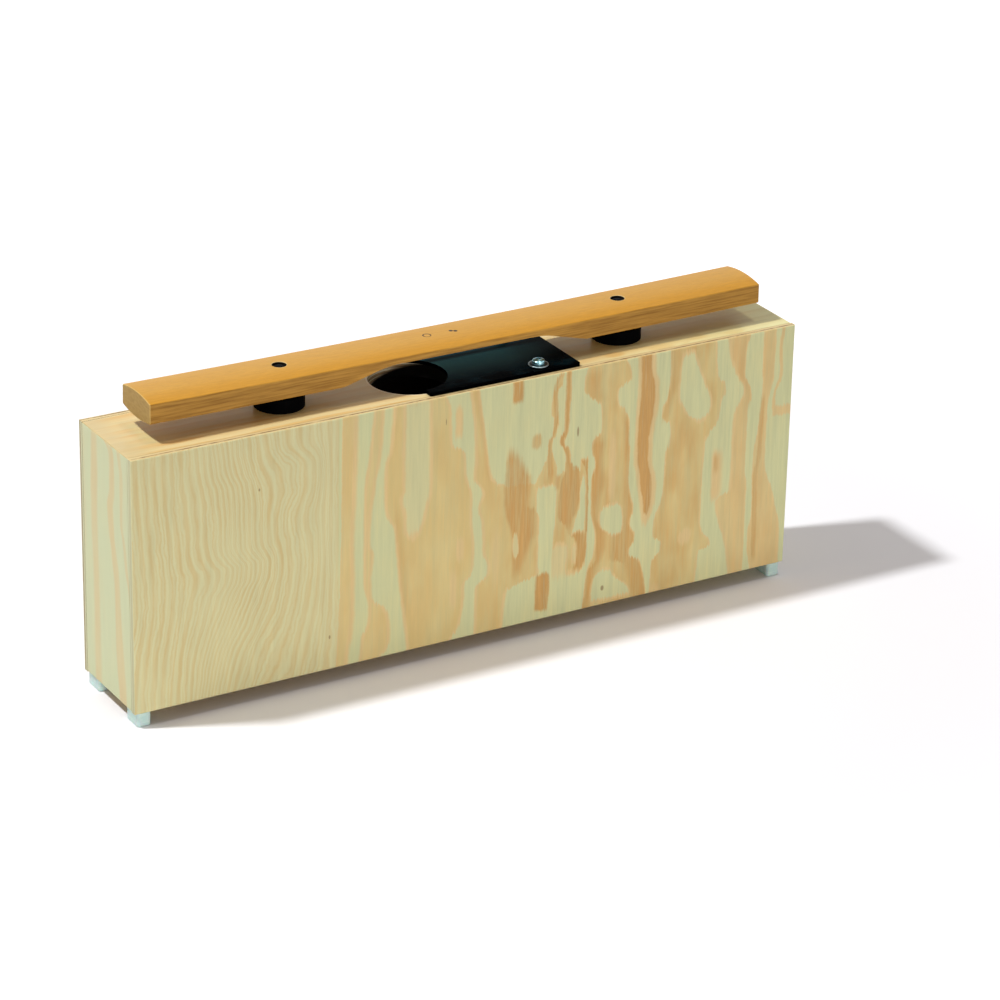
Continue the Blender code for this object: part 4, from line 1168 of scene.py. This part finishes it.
wood_glue = glue_finish()
panel_back = panel_high.y
frame_front = top_low.y
for name, start in (("glue_front", panel_back + 0.03 * MM), ("glue_back", -frame_front + 0.03 * MM)):
    ring = glue_ring(name, start, frame_front - panel_back - 0.06 * MM)
    finish_piece(ring, wood_glue, "resonator")
flat_strip = glue_strip("flat_strip")
half_mitre = FRAME_BOARD / 2
for side in (-1, 1):
    for level, name in ((panel_low.z + half_mitre, "lower"), (panel_high.z - half_mitre, "upper")):
        falls = (side > 0) == (name == "lower")
        end = "left" if side < 0 else "right"
        place = (side * (panel_high.x - half_mitre), 0, level)
        strip = copy_of(flat_strip, "glue_mitre_" + name + "_" + end, place, radians(45 if falls else -45))
        finish_piece(strip, wood_glue, "resonator")
bpy.data.objects.remove(flat_strip, do_unlink=True)

# %% [markdown]
# ## Studio
# The photograph has a white ground that keeps the object's shadow. The floor here is a large plane that adds
# some white of its own far from the object, for the camera only, where the lamp grows weak. Four lights
# work on it. The sky gives an even fill, a little warm, which is the colour of the shadows. A round
# lamp, near enough for the shadow to spread, stands high behind the left end. A soft light hangs almost
# overhead, a little to the right, and a last one comes level from beside the camera and lifts the front panel.

# %% Floor
GLOW_START = 300.0
GLOW_END = 1100.0
GLOW = 0.6


def white_floor():
    bpy.ops.object.select_all(action="DESELECT")
    bpy.ops.mesh.primitive_plane_add(size=60, location=(0, 0, 0))
    floor = bpy.context.active_object
    floor.name = "floor"
    finish = Finish("floor_paper", Roughness=1.0, Specular_IOR_Level=0.0)
    x, y, _ = finish.place()
    distance = (x * x + y * y).root()
    seen = finish.add("ShaderNodeLightPath", None, None, "Is Camera Ray")
    glow = finish.blend((0.0, 0.0, 0.0, 1.0), (1.0, 1.0, 1.0, 1.0), seen * distance.step(GLOW_START, GLOW_END))
    finish.set(Base_Color=(0.915, 0.895, 0.905, 1.0), Emission_Color=glow, Emission_Strength=GLOW)
    floor.data.materials.append(finish.material)


white_floor()

# %% Sky
FILL = 0.31
FILL_BEHIND = 0.5
FILL_COLOUR = (1.0, 0.968, 0.96, 1.0)
world = bpy.data.worlds.new("studio")
bpy.context.scene.world = world
world.use_nodes = True
sky = world.node_tree
background = sky.nodes["Background"]
paths = sky.nodes.new("ShaderNodeLightPath")
shown = sky.nodes.new("ShaderNodeMath")
shown.operation = "MAXIMUM"
sky.links.new(paths.outputs["Is Camera Ray"], shown.inputs[0])
sky.links.new(paths.outputs["Is Glossy Ray"], shown.inputs[1])
direction = sky.nodes.new("ShaderNodeTexCoord")
brighter = sky.nodes.new("ShaderNodeVectorMath")
brighter.operation = "DOT_PRODUCT"
brighter.inputs[1].default_value = (0.5, 0.86, 0.0)
sky.links.new(direction.outputs["Generated"], brighter.inputs[0])
around = sky.nodes.new("ShaderNodeMapRange")
for socket, value in (("From Min", -1), ("To Min", FILL * (1 - FILL_BEHIND)), ("To Max", FILL * (1 + FILL_BEHIND))):
    around.inputs[socket].default_value = value
sky.links.new(brighter.outputs["Value"], around.inputs["Value"])
level = sky.nodes.new("ShaderNodeMapRange")
sky.links.new(shown.outputs[0], level.inputs["Value"])
sky.links.new(around.outputs["Result"], level.inputs["To Min"])
sky.links.new(level.outputs["Result"], background.inputs["Strength"])
tint = sky.nodes.new("ShaderNodeMix")
tint.data_type = "RGBA"
tint.inputs[6].default_value = FILL_COLOUR
tint.inputs[7].default_value = (1.0, 1.0, 1.0, 1.0)
sky.links.new(shown.outputs[0], tint.inputs[0])
sky.links.new(tint.outputs[2], background.inputs["Color"])

# %% Lamp
LAMP_PLACE = Vector((-1.63, 0.53, 3.13))
LAMP_LEVEL = 0.67
LAMP_RADIUS = 0.14
lamp_data = bpy.data.lights.new("lamp", "POINT")
lamp_data.energy = LAMP_LEVEL * 4 * pi ** 2 * LAMP_PLACE.length ** 3 / LAMP_PLACE.z
lamp_data.shadow_soft_size = LAMP_RADIUS
lamp_data.color = (1.0, 1.03, 1.06)
lamp = bpy.data.objects.new("lamp", lamp_data)
bpy.context.scene.collection.objects.link(lamp)
lamp.location = LAMP_PLACE
print("lamp of", round(lamp_data.energy), "W,", round(LAMP_PLACE.length, 2), "m away")


# %% Suns
def add_sun(name, across, forward, level, width):
    """A sun whose light travels across and forward that much for each 1 down, level on a flat floor."""
    light = bpy.data.lights.new(name, "SUN")
    light.energy = level * pi * sqrt(1 + across ** 2 + forward ** 2)
    light.angle = radians(width)
    light.color = FILL_COLOUR[:3]
    sun = bpy.data.objects.new(name, light)
    bpy.context.scene.collection.objects.link(sun)
    sun.rotation_mode = "QUATERNION"
    sun.rotation_quaternion = Vector((across, forward, -1.0)).to_track_quat("-Z", "Y")
    print(name, "falls", across, "across and", forward, "forward for each 1 down")


add_sun("overhead", -0.15, 0.04, 0.17, 12.0)
add_sun("from_camera", 2.0, 18.0, 0.0184, 6.0)
bpy.context.scene.view_settings.view_transform = "Standard"
